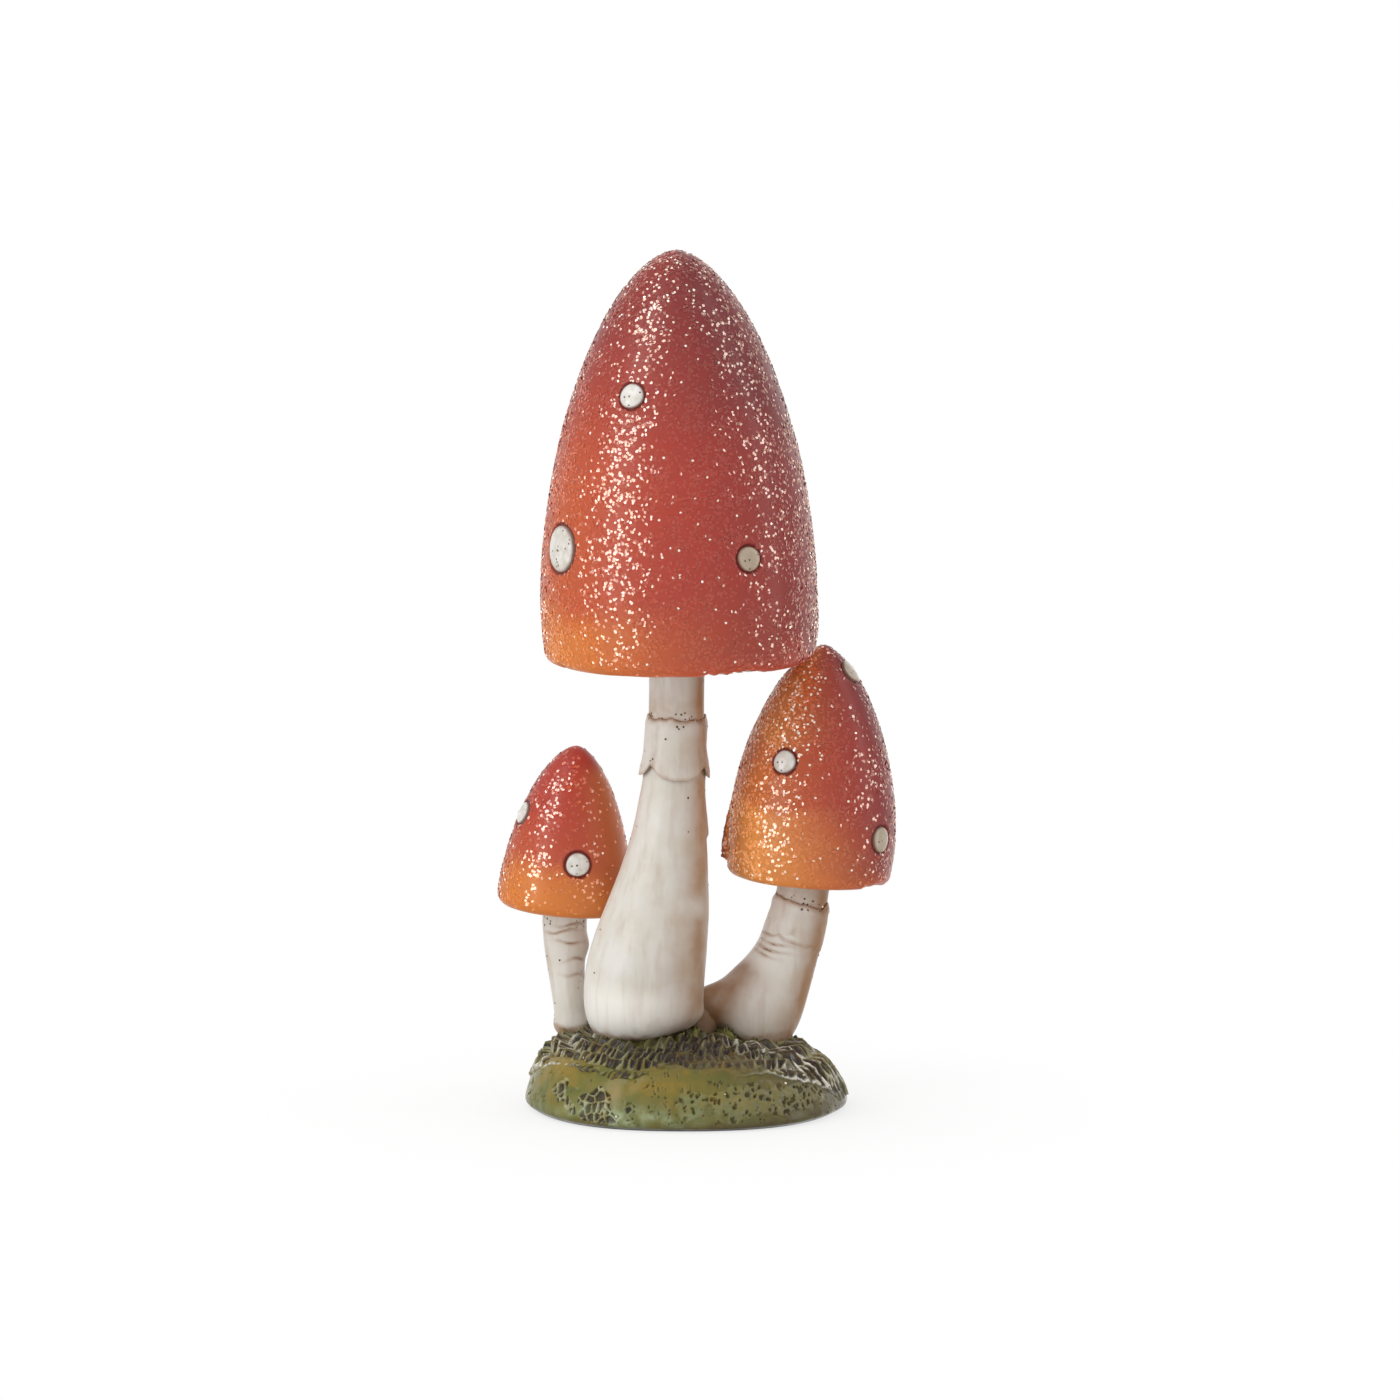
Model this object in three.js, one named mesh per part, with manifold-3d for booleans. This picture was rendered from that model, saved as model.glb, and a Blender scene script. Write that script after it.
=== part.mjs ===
// A hand-painted mushroom ornament: three toadstools of different heights on a mossy mound.
// Millimetres, +Z up. The origin is the centre of the mound's flat underside, and the
// front of the ornament faces -Y. Nothing on it moves: every joint is a glued peg or socket.

import * as THREE from 'three';
import { mergeVertices } from 'three/addons/utils/BufferGeometryUtils.js';
import Module from 'manifold-3d';

const wasm = await Module();
wasm.setup();

// Room for glue between any two pieces that fit together.
const CLEARANCE = 0.3;

// The mound of moss. Drops are measured down from its top, insets in from its widest line,
// and the fall is how much lower it would be at its right edge than in the middle.
const MOUND = {
  height: 13.4,
  edgeMargin: 5.9,
  depthRatio: 0.945,
  edgeHeight: 1.9,
  undersideInset: 1.4,
  browDrop: 1.8,
  browInset: 8.3,
  shoulderDrop: 4.6,
  shoulderInset: 3.0,
  topInset: 18.7,
  fallToRight: 1.5,
  lobes: 5,
  lobeHeight: 0.35,
  sides: 40,
};

// The white spots: domed discs let into drilled recesses, with a dark ring left round each.
const SPOT = {
  recessDepth: 1.6,
  ringWidth: 0.45,
  edgeSink: 0.1,
  domeRise: 0.55,
  sides: 14,
};

// Fullness and taper shape a cap's outline. The crown gets blunter as fullness grows,
// and slimmer towards its tip as taper grows. Leans are in degrees towards +X. A bearing is in
// degrees from the front, positive to the right. A level is a share of the cap's height.
const LARGE = {
  name: 'large',
  foot: { x: -6.8, y: -2 },
  rim: { x: -1.12, y: -1 },
  capRadius: 23.95,
  capHeight: 71.3,
  capLean: -0.5,
  widestHeight: 12,
  rimTuck: 1,
  rimRounding: 2,
  dish: 1.5,
  fullness: 1.76,
  taper: 0.573,
  capSides: 36,
  neckRadius: 4.8,
  neckOffset: -0.5,
  neckReach: 50,
  waistRadius: 5.6,
  bulbRadius: 10.4,
  bulbDrop: 8.4,
  bulbSink: 1.3,
  footLean: -11,
  footReach: 15,
  pegRadius: 4,
  pegDepth: 6,
  spigotRadius: 3,
  spigotLength: 12,
  stemSides: 20,
  collar: { drop: 10.9, height: 10.1, wall: 0.55, flare: 0.45, lobes: 7, notch: 0.8 },
  spots: [
    { bearing: -26, level: 0.672, diameter: 4.4 },
    { bearing: -60, level: 0.298, diameter: 8.2 },
    { bearing: 31, level: 0.285, diameter: 4.3 },
    { bearing: 112, level: 0.38, diameter: 7.6 },
    { bearing: 148, level: 0.64, diameter: 4.6 },
    { bearing: 165, level: 0.2, diameter: 4.4 },
    { bearing: -165, level: 0.45, diameter: 8 },
    { bearing: -128, level: 0.22, diameter: 4.4 },
    { bearing: -118, level: 0.62, diameter: 4.2 },
  ],
};

const MEDIUM = {
  name: 'medium',
  rimHeight: 38.7,
  capRadius: 14.7,
  capHeight: 41.2,
  capLean: 3.8,
  widestHeight: 6.5,
  rimTuck: 0.6,
  rimRounding: 1.3,
  dish: 1.2,
  fullness: 1.99,
  taper: 0.674,
  capSides: 28,
  neckRadius: 4.5,
  neckOffset: -0.7,
  neckReach: 13,
  waistRadius: 5.4,
  bulbRadius: 7.8,
  bulbDrop: 5,
  bulbSink: 1.6,
  footLean: 36,
  footReach: 7.5,
  pegRadius: 3.2,
  pegDepth: 5,
  spigotRadius: 2.8,
  spigotLength: 9,
  stemSides: 20,
  collar: { drop: 5.2, height: 6.8, wall: 0.5, flare: 0.45, lobes: 6, notch: 0.6 },
  spots: [
    { bearing: -27, level: 0.53, diameter: 4.1 },
    { bearing: 72, level: 0.9, diameter: 4.6 },
    { bearing: 55, level: 0.217, diameter: 4.5 },
    { bearing: 118, level: 0.52, diameter: 4.4 },
    { bearing: 160, level: 0.24, diameter: 4.2 },
    { bearing: -152, level: 0.6, diameter: 4.4 },
    { bearing: -112, level: 0.28, diameter: 4.4 },
  ],
};

const SMALL = {
  name: 'small',
  rimHeight: 32.6,
  capRadius: 11.7,
  capHeight: 29,
  capLean: 5,
  widestHeight: 3,
  rimTuck: 0.1,
  rimRounding: 2,
  dish: 1,
  fullness: 1.53,
  taper: 0.576,
  capSides: 24,
  neckRadius: 3.9,
  neckOffset: 0.45,
  neckReach: 8,
  waistRadius: 3.9,
  bulbRadius: 2.75,
  bulbDrop: 3,
  bulbSink: 1,
  footLean: -6,
  footReach: 7,
  pegRadius: 1.7,
  pegDepth: 5,
  spigotRadius: 2.4,
  spigotLength: 7,
  stemSides: 16,
  spots: [
    { bearing: 10, level: 0.334, diameter: 4.2 },
    { bearing: -73, level: 0.578, diameter: 4 },
    { bearing: 125, level: 0.3, diameter: 4 },
    { bearing: 172, level: 0.56, diameter: 4 },
    { bearing: -130, level: 0.28, diameter: 4.2 },
  ],
};

// How the three stand to each other. Rooms are free distances in plan, and a direction
// is in degrees from +X towards +Y.
const GROUP = {
  mediumTipRoom: 2.84,
  mediumTipRise: 1.75,
  mediumCapDirection: 20.7,
  mediumFootRoom: 0.4,
  mediumFootDirection: 27.8,
  smallCapRoom: 1,
  smallCapDirection: 138.5,
  smallFootRoom: 4.5,
  smallFootDirection: 136.8,
};

// How finely the curved outlines are stepped.
const CROWN_STEPS = 10;
const CORNER_STEPS = 3;
const BULB_STEPS = 5;
const TAPER_STEPS = 8;
const MOUND_STEPS = 9;
const DOME_STEPS = 2;
const COLLAR_LOBE_SIDES = 5;
const BULB_ROUNDNESS = 3;
const QUARTER_TURN = 90;

const MATERIALS = {
  capPaint: material(0xb4412b, 0.35),
  stemPaint: material(0xe4ddcf, 0.6),
  collarPaint: material(0xd8cdb9, 0.6),
  spotPaint: material(0xe9e5d9, 0.4),
  mossPaint: material(0x6b6c2e, 0.4),
};

function material(color, roughness) {
  return new THREE.MeshStandardMaterial({ color, roughness, metalness: 0 });
}

// A lathed solid with its axis on Z. The profile runs bottom, outside, top.
function lathe(profile, sides) {
  return new THREE.LatheGeometry(profile, sides).rotateX(Math.PI / 2);
}

// Merges shared vertices and drops the flat triangles that a lathe leaves on its axis.
function weld(geometry) {
  geometry.deleteAttribute('normal');
  geometry.deleteAttribute('uv');
  const welded = mergeVertices(geometry);
  const index = welded.index.array;
  const kept = [];
  for (let i = 0; i < index.length; i += 3) {
    const corners = [index[i], index[i + 1], index[i + 2]];
    if (new Set(corners).size === corners.length) {
      kept.push(...corners);
    }
  }
  welded.setIndex(kept);
  return welded;
}

function solidOf(geometry) {
  const welded = weld(geometry);
  const mesh = new wasm.Mesh({
    numProp: 3,
    vertProperties: new Float32Array(welded.attributes.position.array),
    triVerts: new Uint32Array(welded.index.array),
  });
  return new wasm.Manifold(mesh);
}

function subtract(geometry, cutters) {
  let solid = solidOf(geometry);
  for (const cutter of cutters) {
    solid = solid.subtract(solidOf(cutter));
  }
  const mesh = solid.getMesh();
  const result = new THREE.BufferGeometry();
  result.setAttribute('position', new THREE.BufferAttribute(mesh.vertProperties, mesh.numProp));
  result.setIndex(new THREE.BufferAttribute(mesh.triVerts, 1));
  return result;
}

function makeMesh(name, geometry, paint) {
  const welded = weld(geometry);
  welded.computeVertexNormals();
  const mesh = new THREE.Mesh(welded, paint);
  mesh.name = name;
  return mesh;
}

// A direction that leans from straight up towards +X.
function leaning(degrees) {
  const lean = THREE.MathUtils.degToRad(degrees);
  return new THREE.Vector3(Math.sin(lean), 0, Math.cos(lean));
}

function polar(directionDegrees, distance) {
  const angle = THREE.MathUtils.degToRad(directionDegrees);
  return { x: distance * Math.cos(angle), y: distance * Math.sin(angle) };
}

// Mound

// Outline from the edge of the flat underside, over the widest line, up to the top.
function moundOutline(halfWidth) {
  const { height } = MOUND;
  const side = new THREE.SplineCurve([
    new THREE.Vector2(halfWidth - MOUND.undersideInset, 0),
    new THREE.Vector2(halfWidth, MOUND.edgeHeight),
    new THREE.Vector2(halfWidth - MOUND.shoulderInset, height - MOUND.shoulderDrop),
    new THREE.Vector2(halfWidth - MOUND.browInset, height - MOUND.browDrop),
    new THREE.Vector2(halfWidth - MOUND.topInset, height),
  ]);
  return [...side.getPoints(MOUND_STEPS), new THREE.Vector2(0, height)];
}

// How much of its height the moss keeps at a place, as it falls evenly to the right.
function fallShare(x, halfWidth) {
  return 1 - (MOUND.fallToRight / MOUND.height) * (x / halfWidth);
}

// Height of the moss over a place in plan.
function mossHeight(place, halfWidth) {
  const reach = Math.hypot(place.x, place.y / MOUND.depthRatio);
  const outline = moundOutline(halfWidth);
  const outer = outline.findLastIndex((point) => point.x >= reach);
  const from = outline[outer];
  const to = outline[outer + 1];
  const level = from.y + (to.y - from.y) * ((from.x - reach) / (from.x - to.x));
  return level * fallShare(place.x, halfWidth);
}

// The moss swells a little round its side and falls to the right, but stays flat underneath.
function unevenMoss(geometry, halfWidth) {
  const position = geometry.attributes.position;
  for (let i = 0; i < position.count; i += 1) {
    const x = position.getX(i);
    const y = position.getY(i);
    const z = position.getZ(i);
    const swell = (MOUND.lobeHeight / halfWidth) * Math.sin(MOUND.lobes * Math.atan2(y, x));
    const spread = z > 0 ? 1 + swell : 1;
    position.setXYZ(i, x * spread, y * spread, z * fallShare(x, halfWidth));
  }
  return geometry;
}

function makeMound(halfWidth, stands) {
  const profile = [new THREE.Vector2(0, 0), ...moundOutline(halfWidth)];
  const body = unevenMoss(lathe(profile, MOUND.sides).scale(1, MOUND.depthRatio, 1), halfWidth);
  const sockets = stands.map((stand) => stemGeometry(stand, CLEARANCE));
  return makeMesh('base_mound', subtract(body, sockets), MATERIALS.mossPaint);
}

// Stems

// The axis of a stem, from the surface of the moss to its shoulder under the cap.
function stemPath(mushroom, foot, rim) {
  const axis = leaning(mushroom.capLean);
  const top = rim.clone();
  top.addScaledVector(leaning(mushroom.capLean + QUARTER_TURN), mushroom.neckOffset);
  top.addScaledVector(axis, mushroom.dish - CLEARANCE);
  const footHandle = foot.clone().addScaledVector(leaning(mushroom.footLean), mushroom.footReach);
  const neckHandle = top.clone().addScaledVector(axis, -mushroom.neckReach);
  return new THREE.CubicBezierCurve3(foot, footHandle, neckHandle, top);
}

// Distances along a stem's path where its outline changes.
function stemLevels(mushroom, length) {
  const bulb = mushroom.bulbDrop - mushroom.bulbSink;
  const { collar } = mushroom;
  const collarTop = collar ? length - collar.drop : length;
  const collarBottom = collar ? collarTop - collar.height : length;
  const waist = collar ? collarBottom - CLEARANCE : length;
  return { bulb, waist, collarBottom, collarTop };
}

// Radius of the tapering part between the bulb and the waist.
function taperRadius(mushroom, levels, distance) {
  const eased = THREE.MathUtils.smoothstep(distance, levels.bulb, levels.waist);
  return THREE.MathUtils.lerp(mushroom.bulbRadius, mushroom.waistRadius, eased);
}

// The underside of the bulb, from the peg out to the widest place, as a superellipse.
function bulbProfile(mushroom, levels) {
  const power = 2 / BULB_ROUNDNESS;
  const start = Math.asin((mushroom.pegRadius / mushroom.bulbRadius) ** (1 / power));
  const points = [];
  for (let i = 0; i <= BULB_STEPS; i += 1) {
    const angle = THREE.MathUtils.lerp(start, Math.PI / 2, i / BULB_STEPS);
    const radius = mushroom.bulbRadius * Math.sin(angle) ** power;
    const drop = mushroom.bulbDrop * Math.max(Math.cos(angle), 0) ** power;
    points.push(new THREE.Vector2(radius, levels.bulb - drop));
  }
  return points;
}

function taperProfile(mushroom, levels) {
  const points = [];
  for (let i = 1; i <= TAPER_STEPS; i += 1) {
    const distance = THREE.MathUtils.lerp(levels.bulb, levels.waist, i / TAPER_STEPS);
    points.push(new THREE.Vector2(taperRadius(mushroom, levels, distance), distance));
  }
  return points;
}

// A straight run of the neck in even steps, so that it can follow the path's bend.
function neckProfile(mushroom, levels, length) {
  const stops = [levels.waist, levels.collarTop, length];
  return stops.map((distance) => new THREE.Vector2(mushroom.neckRadius, distance));
}

function stemProfile(mushroom, length) {
  const levels = stemLevels(mushroom, length);
  const spigotEnd = length + mushroom.spigotLength;
  return [
    new THREE.Vector2(0, -mushroom.pegDepth),
    new THREE.Vector2(mushroom.pegRadius, -mushroom.pegDepth),
    ...bulbProfile(mushroom, levels),
    ...taperProfile(mushroom, levels),
    ...(mushroom.collar ? neckProfile(mushroom, levels, length) : []),
    new THREE.Vector2(mushroom.spigotRadius, length),
    new THREE.Vector2(mushroom.spigotRadius, spigotEnd),
    new THREE.Vector2(0, spigotEnd),
  ];
}

// Bends a solid that stands on Z so that it follows a path, and runs on straight past its ends.
function bend(geometry, path) {
  const length = path.getLength();
  const position = geometry.attributes.position;
  const sideways = new THREE.Vector3(0, 1, 0);
  for (let i = 0; i < position.count; i += 1) {
    const distance = position.getZ(i);
    const along = THREE.MathUtils.clamp(distance, 0, length);
    const tangent = path.getTangentAt(along / length);
    const across = new THREE.Vector3().crossVectors(sideways, tangent).normalize();
    const back = new THREE.Vector3().crossVectors(tangent, across);
    const point = path.getPointAt(along / length);
    point.addScaledVector(tangent, distance - along);
    point.addScaledVector(across, position.getX(i));
    point.addScaledVector(back, position.getY(i));
    position.setXYZ(i, point.x, point.y, point.z);
  }
  return geometry;
}

// A stem, or with some growth the hollow that takes it.
function stemGeometry(stand, growth = 0) {
  const { mushroom, path } = stand;
  const length = path.getLength();
  const { bulb } = stemLevels(mushroom, length);
  const grown = stemProfile(mushroom, length).map((point) => {
    const radius = point.x > 0 ? point.x + growth : 0;
    const height = point.y < bulb ? point.y - growth : point.y;
    return new THREE.Vector2(radius, height);
  });
  return bend(lathe(grown, mushroom.stemSides), path);
}

// Place and radius of a stem at a given height.
function stemAtHeight(stand, height) {
  const { mushroom, path } = stand;
  const length = path.getLength();
  const levels = stemLevels(mushroom, length);
  const samples = path.getSpacedPoints(Math.ceil(length));
  const found = Math.max(samples.findIndex((point) => point.z >= height), 1);
  const distance = (found / (samples.length - 1)) * length;
  return { centre: samples[found], radius: taperRadius(mushroom, levels, distance) };
}

// Collars

// The collar is a thin skirt that slides down the neck onto the stem's shoulder.
function collarProfile(mushroom, levels) {
  const { wall, flare } = mushroom.collar;
  const inner = mushroom.neckRadius + CLEARANCE;
  const outer = inner + wall;
  const { collarBottom, collarTop } = levels;
  const middle = (collarBottom + collarTop) / 2;
  return [
    new THREE.Vector2(inner, collarBottom),
    new THREE.Vector2(outer + flare, collarBottom),
    new THREE.Vector2(outer, collarBottom + wall + flare),
    new THREE.Vector2(outer, middle),
    new THREE.Vector2(outer, collarTop),
    new THREE.Vector2(inner, collarTop),
    new THREE.Vector2(inner, middle),
    new THREE.Vector2(inner, collarBottom),
  ];
}

// Cuts both edges of a collar into soft lobes, which leave its ends where they are.
function notchEdges(geometry, collar, levels) {
  const position = geometry.attributes.position;
  const middle = (levels.collarBottom + levels.collarTop) / 2;
  for (let i = 0; i < position.count; i += 1) {
    const turn = Math.atan2(position.getY(i), position.getX(i));
    const lobe = (1 + Math.cos(collar.lobes * turn)) / 2;
    const towardsEdge = (position.getZ(i) - middle) / (collar.height / 2);
    position.setZ(i, position.getZ(i) - collar.notch * lobe * towardsEdge);
  }
  return geometry;
}

function makeCollar(stand) {
  const { mushroom, path } = stand;
  const levels = stemLevels(mushroom, path.getLength());
  const sides = mushroom.collar.lobes * COLLAR_LOBE_SIDES;
  const ring = lathe(collarProfile(mushroom, levels), sides);
  const ragged = bend(notchEdges(ring, mushroom.collar, levels), path);
  return makeMesh(`${mushroom.name}_collar`, ragged, MATERIALS.collarPaint);
}

// Caps

// Outer radius of a cap at a height above its rim, before its rim is rounded.
function capRadiusAt(mushroom, height) {
  const { capRadius, capHeight, widestHeight, rimTuck, fullness, taper } = mushroom;
  if (height < widestHeight) {
    const below = (widestHeight - height) / widestHeight;
    return capRadius - rimTuck * below ** 2;
  }
  const rise = Math.min((height - widestHeight) / (capHeight - widestHeight), 1);
  return capRadius * (1 - rise ** fullness) ** taper;
}

function crownProfile(mushroom) {
  const { capHeight, widestHeight, rimRounding } = mushroom;
  const points = [];
  for (let i = 0; i < CORNER_STEPS; i += 1) {
    const angle = (i / CORNER_STEPS) * (Math.PI / 2);
    const height = rimRounding * (1 - Math.cos(angle));
    const inset = rimRounding * (1 - Math.sin(angle));
    points.push(new THREE.Vector2(capRadiusAt(mushroom, height) - inset, height));
  }
  points.push(new THREE.Vector2(capRadiusAt(mushroom, rimRounding), rimRounding));
  for (let i = 0; i <= CROWN_STEPS; i += 1) {
    const angle = (i / CROWN_STEPS) * (Math.PI / 2);
    const height = THREE.MathUtils.lerp(widestHeight, capHeight, Math.sin(angle));
    const radius = i < CROWN_STEPS ? capRadiusAt(mushroom, height) : 0;
    points.push(new THREE.Vector2(radius, height));
  }
  return points;
}

// The flat seat in the middle of the dished underside, which covers the neck's end.
function undersideProfile(mushroom) {
  const seatRadius = mushroom.neckRadius + Math.abs(mushroom.neckOffset) + CLEARANCE;
  return [new THREE.Vector2(0, mushroom.dish), new THREE.Vector2(seatRadius, mushroom.dish)];
}

// The blind hole that takes the stem's spigot.
function socketGeometry(mushroom) {
  const radius = mushroom.spigotRadius + CLEARANCE;
  const ceiling = mushroom.dish + mushroom.spigotLength;
  return new THREE.CylinderGeometry(radius, radius, ceiling, mushroom.stemSides)
    .rotateX(Math.PI / 2)
    .translate(mushroom.neckOffset, 0, ceiling / 2);
}

// Where a spot sits on a cap, with +Z turned to the surface's outward direction.
function spotPlace(mushroom, spot) {
  const height = spot.level * mushroom.capHeight;
  const radius = capRadiusAt(mushroom, height);
  const step = CLEARANCE;
  const slope = (capRadiusAt(mushroom, height + step) - capRadiusAt(mushroom, height - step)) / (2 * step);
  const bearing = THREE.MathUtils.degToRad(spot.bearing);
  const outward = new THREE.Vector3(Math.sin(bearing), -Math.cos(bearing), 0);
  const normal = outward.clone().setZ(-slope).normalize();
  const position = outward.multiplyScalar(radius).setZ(height);
  const up = new THREE.Vector3(0, 0, 1);
  const quaternion = new THREE.Quaternion().setFromUnitVectors(up, normal);
  return { position, quaternion };
}

function recessGeometry(mushroom, spot) {
  const radius = spot.diameter / 2 + SPOT.ringWidth;
  const length = 2 * SPOT.recessDepth;
  const { position, quaternion } = spotPlace(mushroom, spot);
  return new THREE.CylinderGeometry(radius, radius, length, SPOT.sides)
    .rotateX(Math.PI / 2)
    .applyQuaternion(quaternion)
    .translate(position.x, position.y, position.z);
}

function spotGeometry(spot) {
  const radius = spot.diameter / 2;
  const bottom = CLEARANCE - SPOT.recessDepth;
  const points = [new THREE.Vector2(0, bottom), new THREE.Vector2(radius, bottom)];
  for (let i = 0; i <= DOME_STEPS; i += 1) {
    const angle = (i / DOME_STEPS) * (Math.PI / 2);
    const inwards = i < DOME_STEPS ? radius * Math.cos(angle) : 0;
    points.push(new THREE.Vector2(inwards, SPOT.domeRise * Math.sin(angle) - SPOT.edgeSink));
  }
  return lathe(points, SPOT.sides);
}

function makeSpot(mushroom, spot, number) {
  const mesh = makeMesh(`${mushroom.name}_cap_spot_${number}`, spotGeometry(spot), MATERIALS.spotPaint);
  const { position, quaternion } = spotPlace(mushroom, spot);
  mesh.position.copy(position);
  mesh.quaternion.copy(quaternion);
  return mesh;
}

// A cap with its spots, turned to the cap's lean about the centre of its rim.
function makeCap(stand) {
  const { mushroom, rim } = stand;
  const group = new THREE.Group();
  const profile = [...undersideProfile(mushroom), ...crownProfile(mushroom)];
  const recesses = mushroom.spots.map((spot) => recessGeometry(mushroom, spot));
  const cutters = [socketGeometry(mushroom), ...recesses];
  const body = subtract(lathe(profile, mushroom.capSides), cutters);
  group.add(makeMesh(`${mushroom.name}_cap`, body, MATERIALS.capPaint));
  mushroom.spots.forEach((spot, index) => group.add(makeSpot(mushroom, spot, index + 1)));
  group.position.copy(rim);
  group.rotation.y = THREE.MathUtils.degToRad(mushroom.capLean);
  return group;
}

// Places

// The large mushroom's rim hangs just below the tip of the medium one.
function largeRim() {
  const height = MEDIUM.rimHeight + mediumCapRise() - GROUP.mediumTipRise;
  return new THREE.Vector3(LARGE.rim.x, LARGE.rim.y, height);
}

function mediumCapRise() {
  return MEDIUM.capHeight * leaning(MEDIUM.capLean).z;
}

// The medium cap's tip stands clear of the large cap's side.
function mediumRim() {
  const reach = polar(GROUP.mediumCapDirection, LARGE.capRadius + GROUP.mediumTipRoom);
  const tipShift = MEDIUM.capHeight * leaning(MEDIUM.capLean).x;
  return new THREE.Vector3(LARGE.rim.x + reach.x - tipShift, LARGE.rim.y + reach.y, MEDIUM.rimHeight);
}

// The small cap stands behind the large stem and to its left, with its rim clear of it.
function smallRim(largeStand) {
  const stem = stemAtHeight(largeStand, SMALL.rimHeight);
  const reach = polar(GROUP.smallCapDirection, SMALL.capRadius + stem.radius + GROUP.smallCapRoom);
  return new THREE.Vector3(stem.centre.x + reach.x, stem.centre.y + reach.y, SMALL.rimHeight);
}

function footBeside(direction, mushroom, room) {
  const reach = polar(direction, LARGE.bulbRadius + mushroom.bulbRadius + room);
  return { x: LARGE.foot.x + reach.x, y: LARGE.foot.y + reach.y };
}

function makeStand(mushroom, place, rim, halfWidth) {
  const foot = new THREE.Vector3(place.x, place.y, mossHeight(place, halfWidth));
  return { mushroom, rim, path: stemPath(mushroom, foot, rim) };
}

function makeMushroom(stand) {
  const { mushroom } = stand;
  const group = new THREE.Group();
  group.add(makeMesh(`${mushroom.name}_stem`, stemGeometry(stand), MATERIALS.stemPaint));
  if (mushroom.collar) {
    group.add(makeCollar(stand));
  }
  group.add(makeCap(stand));
  return group;
}

const smallFoot = footBeside(GROUP.smallFootDirection, SMALL, GROUP.smallFootRoom);
const mediumFoot = footBeside(GROUP.mediumFootDirection, MEDIUM, GROUP.mediumFootRoom);
const halfWidth = Math.hypot(smallFoot.x, smallFoot.y) + MOUND.edgeMargin;
const largeStand = makeStand(LARGE, LARGE.foot, largeRim(), halfWidth);
const mediumStand = makeStand(MEDIUM, mediumFoot, mediumRim(), halfWidth);
const smallStand = makeStand(SMALL, smallFoot, smallRim(largeStand), halfWidth);
const stands = [largeStand, mediumStand, smallStand];

const group = new THREE.Group();
group.add(makeMound(halfWidth, stands));
stands.forEach((stand) => group.add(makeMushroom(stand)));

export default group;
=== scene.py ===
"""Looks of a hand-painted resin ornament: three spotted toadstools on a mound of moss.

Sizes in the classes are in millimetres and become metres where a mesh is made. Z is up
and the front of the ornament faces -Y. A bearing is in degrees from the front, positive
to the right.
"""
import logging
import math
from dataclasses import dataclass, field
from enum import Enum

import bpy
import bmesh
import numpy as np
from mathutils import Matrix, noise


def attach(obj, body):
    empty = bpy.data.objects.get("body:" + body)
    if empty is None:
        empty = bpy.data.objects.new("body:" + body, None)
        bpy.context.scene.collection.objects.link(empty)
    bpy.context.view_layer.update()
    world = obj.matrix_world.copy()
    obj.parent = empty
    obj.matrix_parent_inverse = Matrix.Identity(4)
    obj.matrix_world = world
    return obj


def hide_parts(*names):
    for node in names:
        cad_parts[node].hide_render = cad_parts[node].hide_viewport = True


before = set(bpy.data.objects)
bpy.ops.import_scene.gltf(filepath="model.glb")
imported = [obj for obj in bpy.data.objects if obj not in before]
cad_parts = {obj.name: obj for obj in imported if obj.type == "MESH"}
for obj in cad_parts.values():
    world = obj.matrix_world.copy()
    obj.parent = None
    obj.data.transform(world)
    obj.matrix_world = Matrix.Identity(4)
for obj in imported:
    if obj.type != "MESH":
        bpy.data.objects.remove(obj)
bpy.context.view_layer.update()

BODY = "root"
MM = 0.001
CLEARANCE = 0.3
FAR = 99.0
UP = np.array([0, 0, 1.0])

log = logging.getLogger("ornament")

Array = np.ndarray
Piece = bpy.types.Object
Material = bpy.types.Material
Tree = bpy.types.NodeTree
Socket = bpy.types.NodeSocket
Colour = tuple[float, float, float, float]


class Slot(Enum):
    """The record's finishes."""

    CAP = "cap"
    STEM = "stem"
    COLLAR = "collar"
    SPOT = "spot"
    MOSS = "moss"


class Ray(Enum):
    """Kinds of rays that the surroundings tell apart."""

    CAMERA = "Is Camera Ray"
    TRANSMISSION = "Is Transmission Ray"
    GLOSSY = "Is Glossy Ray"


# Small tools


def paint(code: str) -> Colour:
    """Turn a colour into Blender's linear values.

    Args:
        code: sRGB colour as "#RRGGBB".

    Returns:
        Linear red, green and blue with full alpha.
    """
    shares = [int(code[i:i + 2], 16) / 255 for i in (1, 3, 5)]
    linear = [s / 12.92 if s <= 0.04045 else ((s + 0.055) / 1.055) ** 2.4 for s in shares]
    return (*linear, 1.0)


def ease(value: Array, low: float, high: float) -> Array:
    """Rise smoothly from 0 at low to 1 at high, which may lie below low."""
    share = np.clip((value - low) / (high - low), 0, 1)
    return share * share * (3 - 2 * share)


def bell(value: Array, centre: float, width: float) -> Array:
    """Give 1 at a centre and fall off softly, to about a third at the width."""
    return np.exp(-(((value - centre) / width) ** 2))


def off_bearing(bearing: Array, centre: float) -> Array:
    """Degrees from one bearing to others, from -180 to 180."""
    return (bearing - centre + 180) % 360 - 180


def beside(bearing: Array, centre: float, width: float) -> Array:
    """Give 1 at one bearing and fall off softly on both sides of it."""
    return bell(off_bearing(bearing, centre), 0, width)


def bearing_of(points: Array) -> Array:
    """Bearings in degrees at which places lie, seen from the middle."""
    return np.degrees(np.arctan2(points[..., 0], -points[..., 1]))


def outward(bearing: Array) -> Array:
    """Unit vectors in plan that point away from the middle at bearings in degrees."""
    turn = np.radians(bearing)
    return np.stack([np.sin(turn), -np.cos(turn), np.zeros_like(turn)], axis=-1)


def lathed(away: Array, out: Array, height: Array) -> Array:
    """Places a distance out along directions in plan, and a height up."""
    return away * out[..., None] + UP * height[..., None]


def unit(vectors: Array) -> Array:
    """Make vectors one unit long."""
    return vectors / np.linalg.norm(vectors, axis=-1, keepdims=True)


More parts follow.
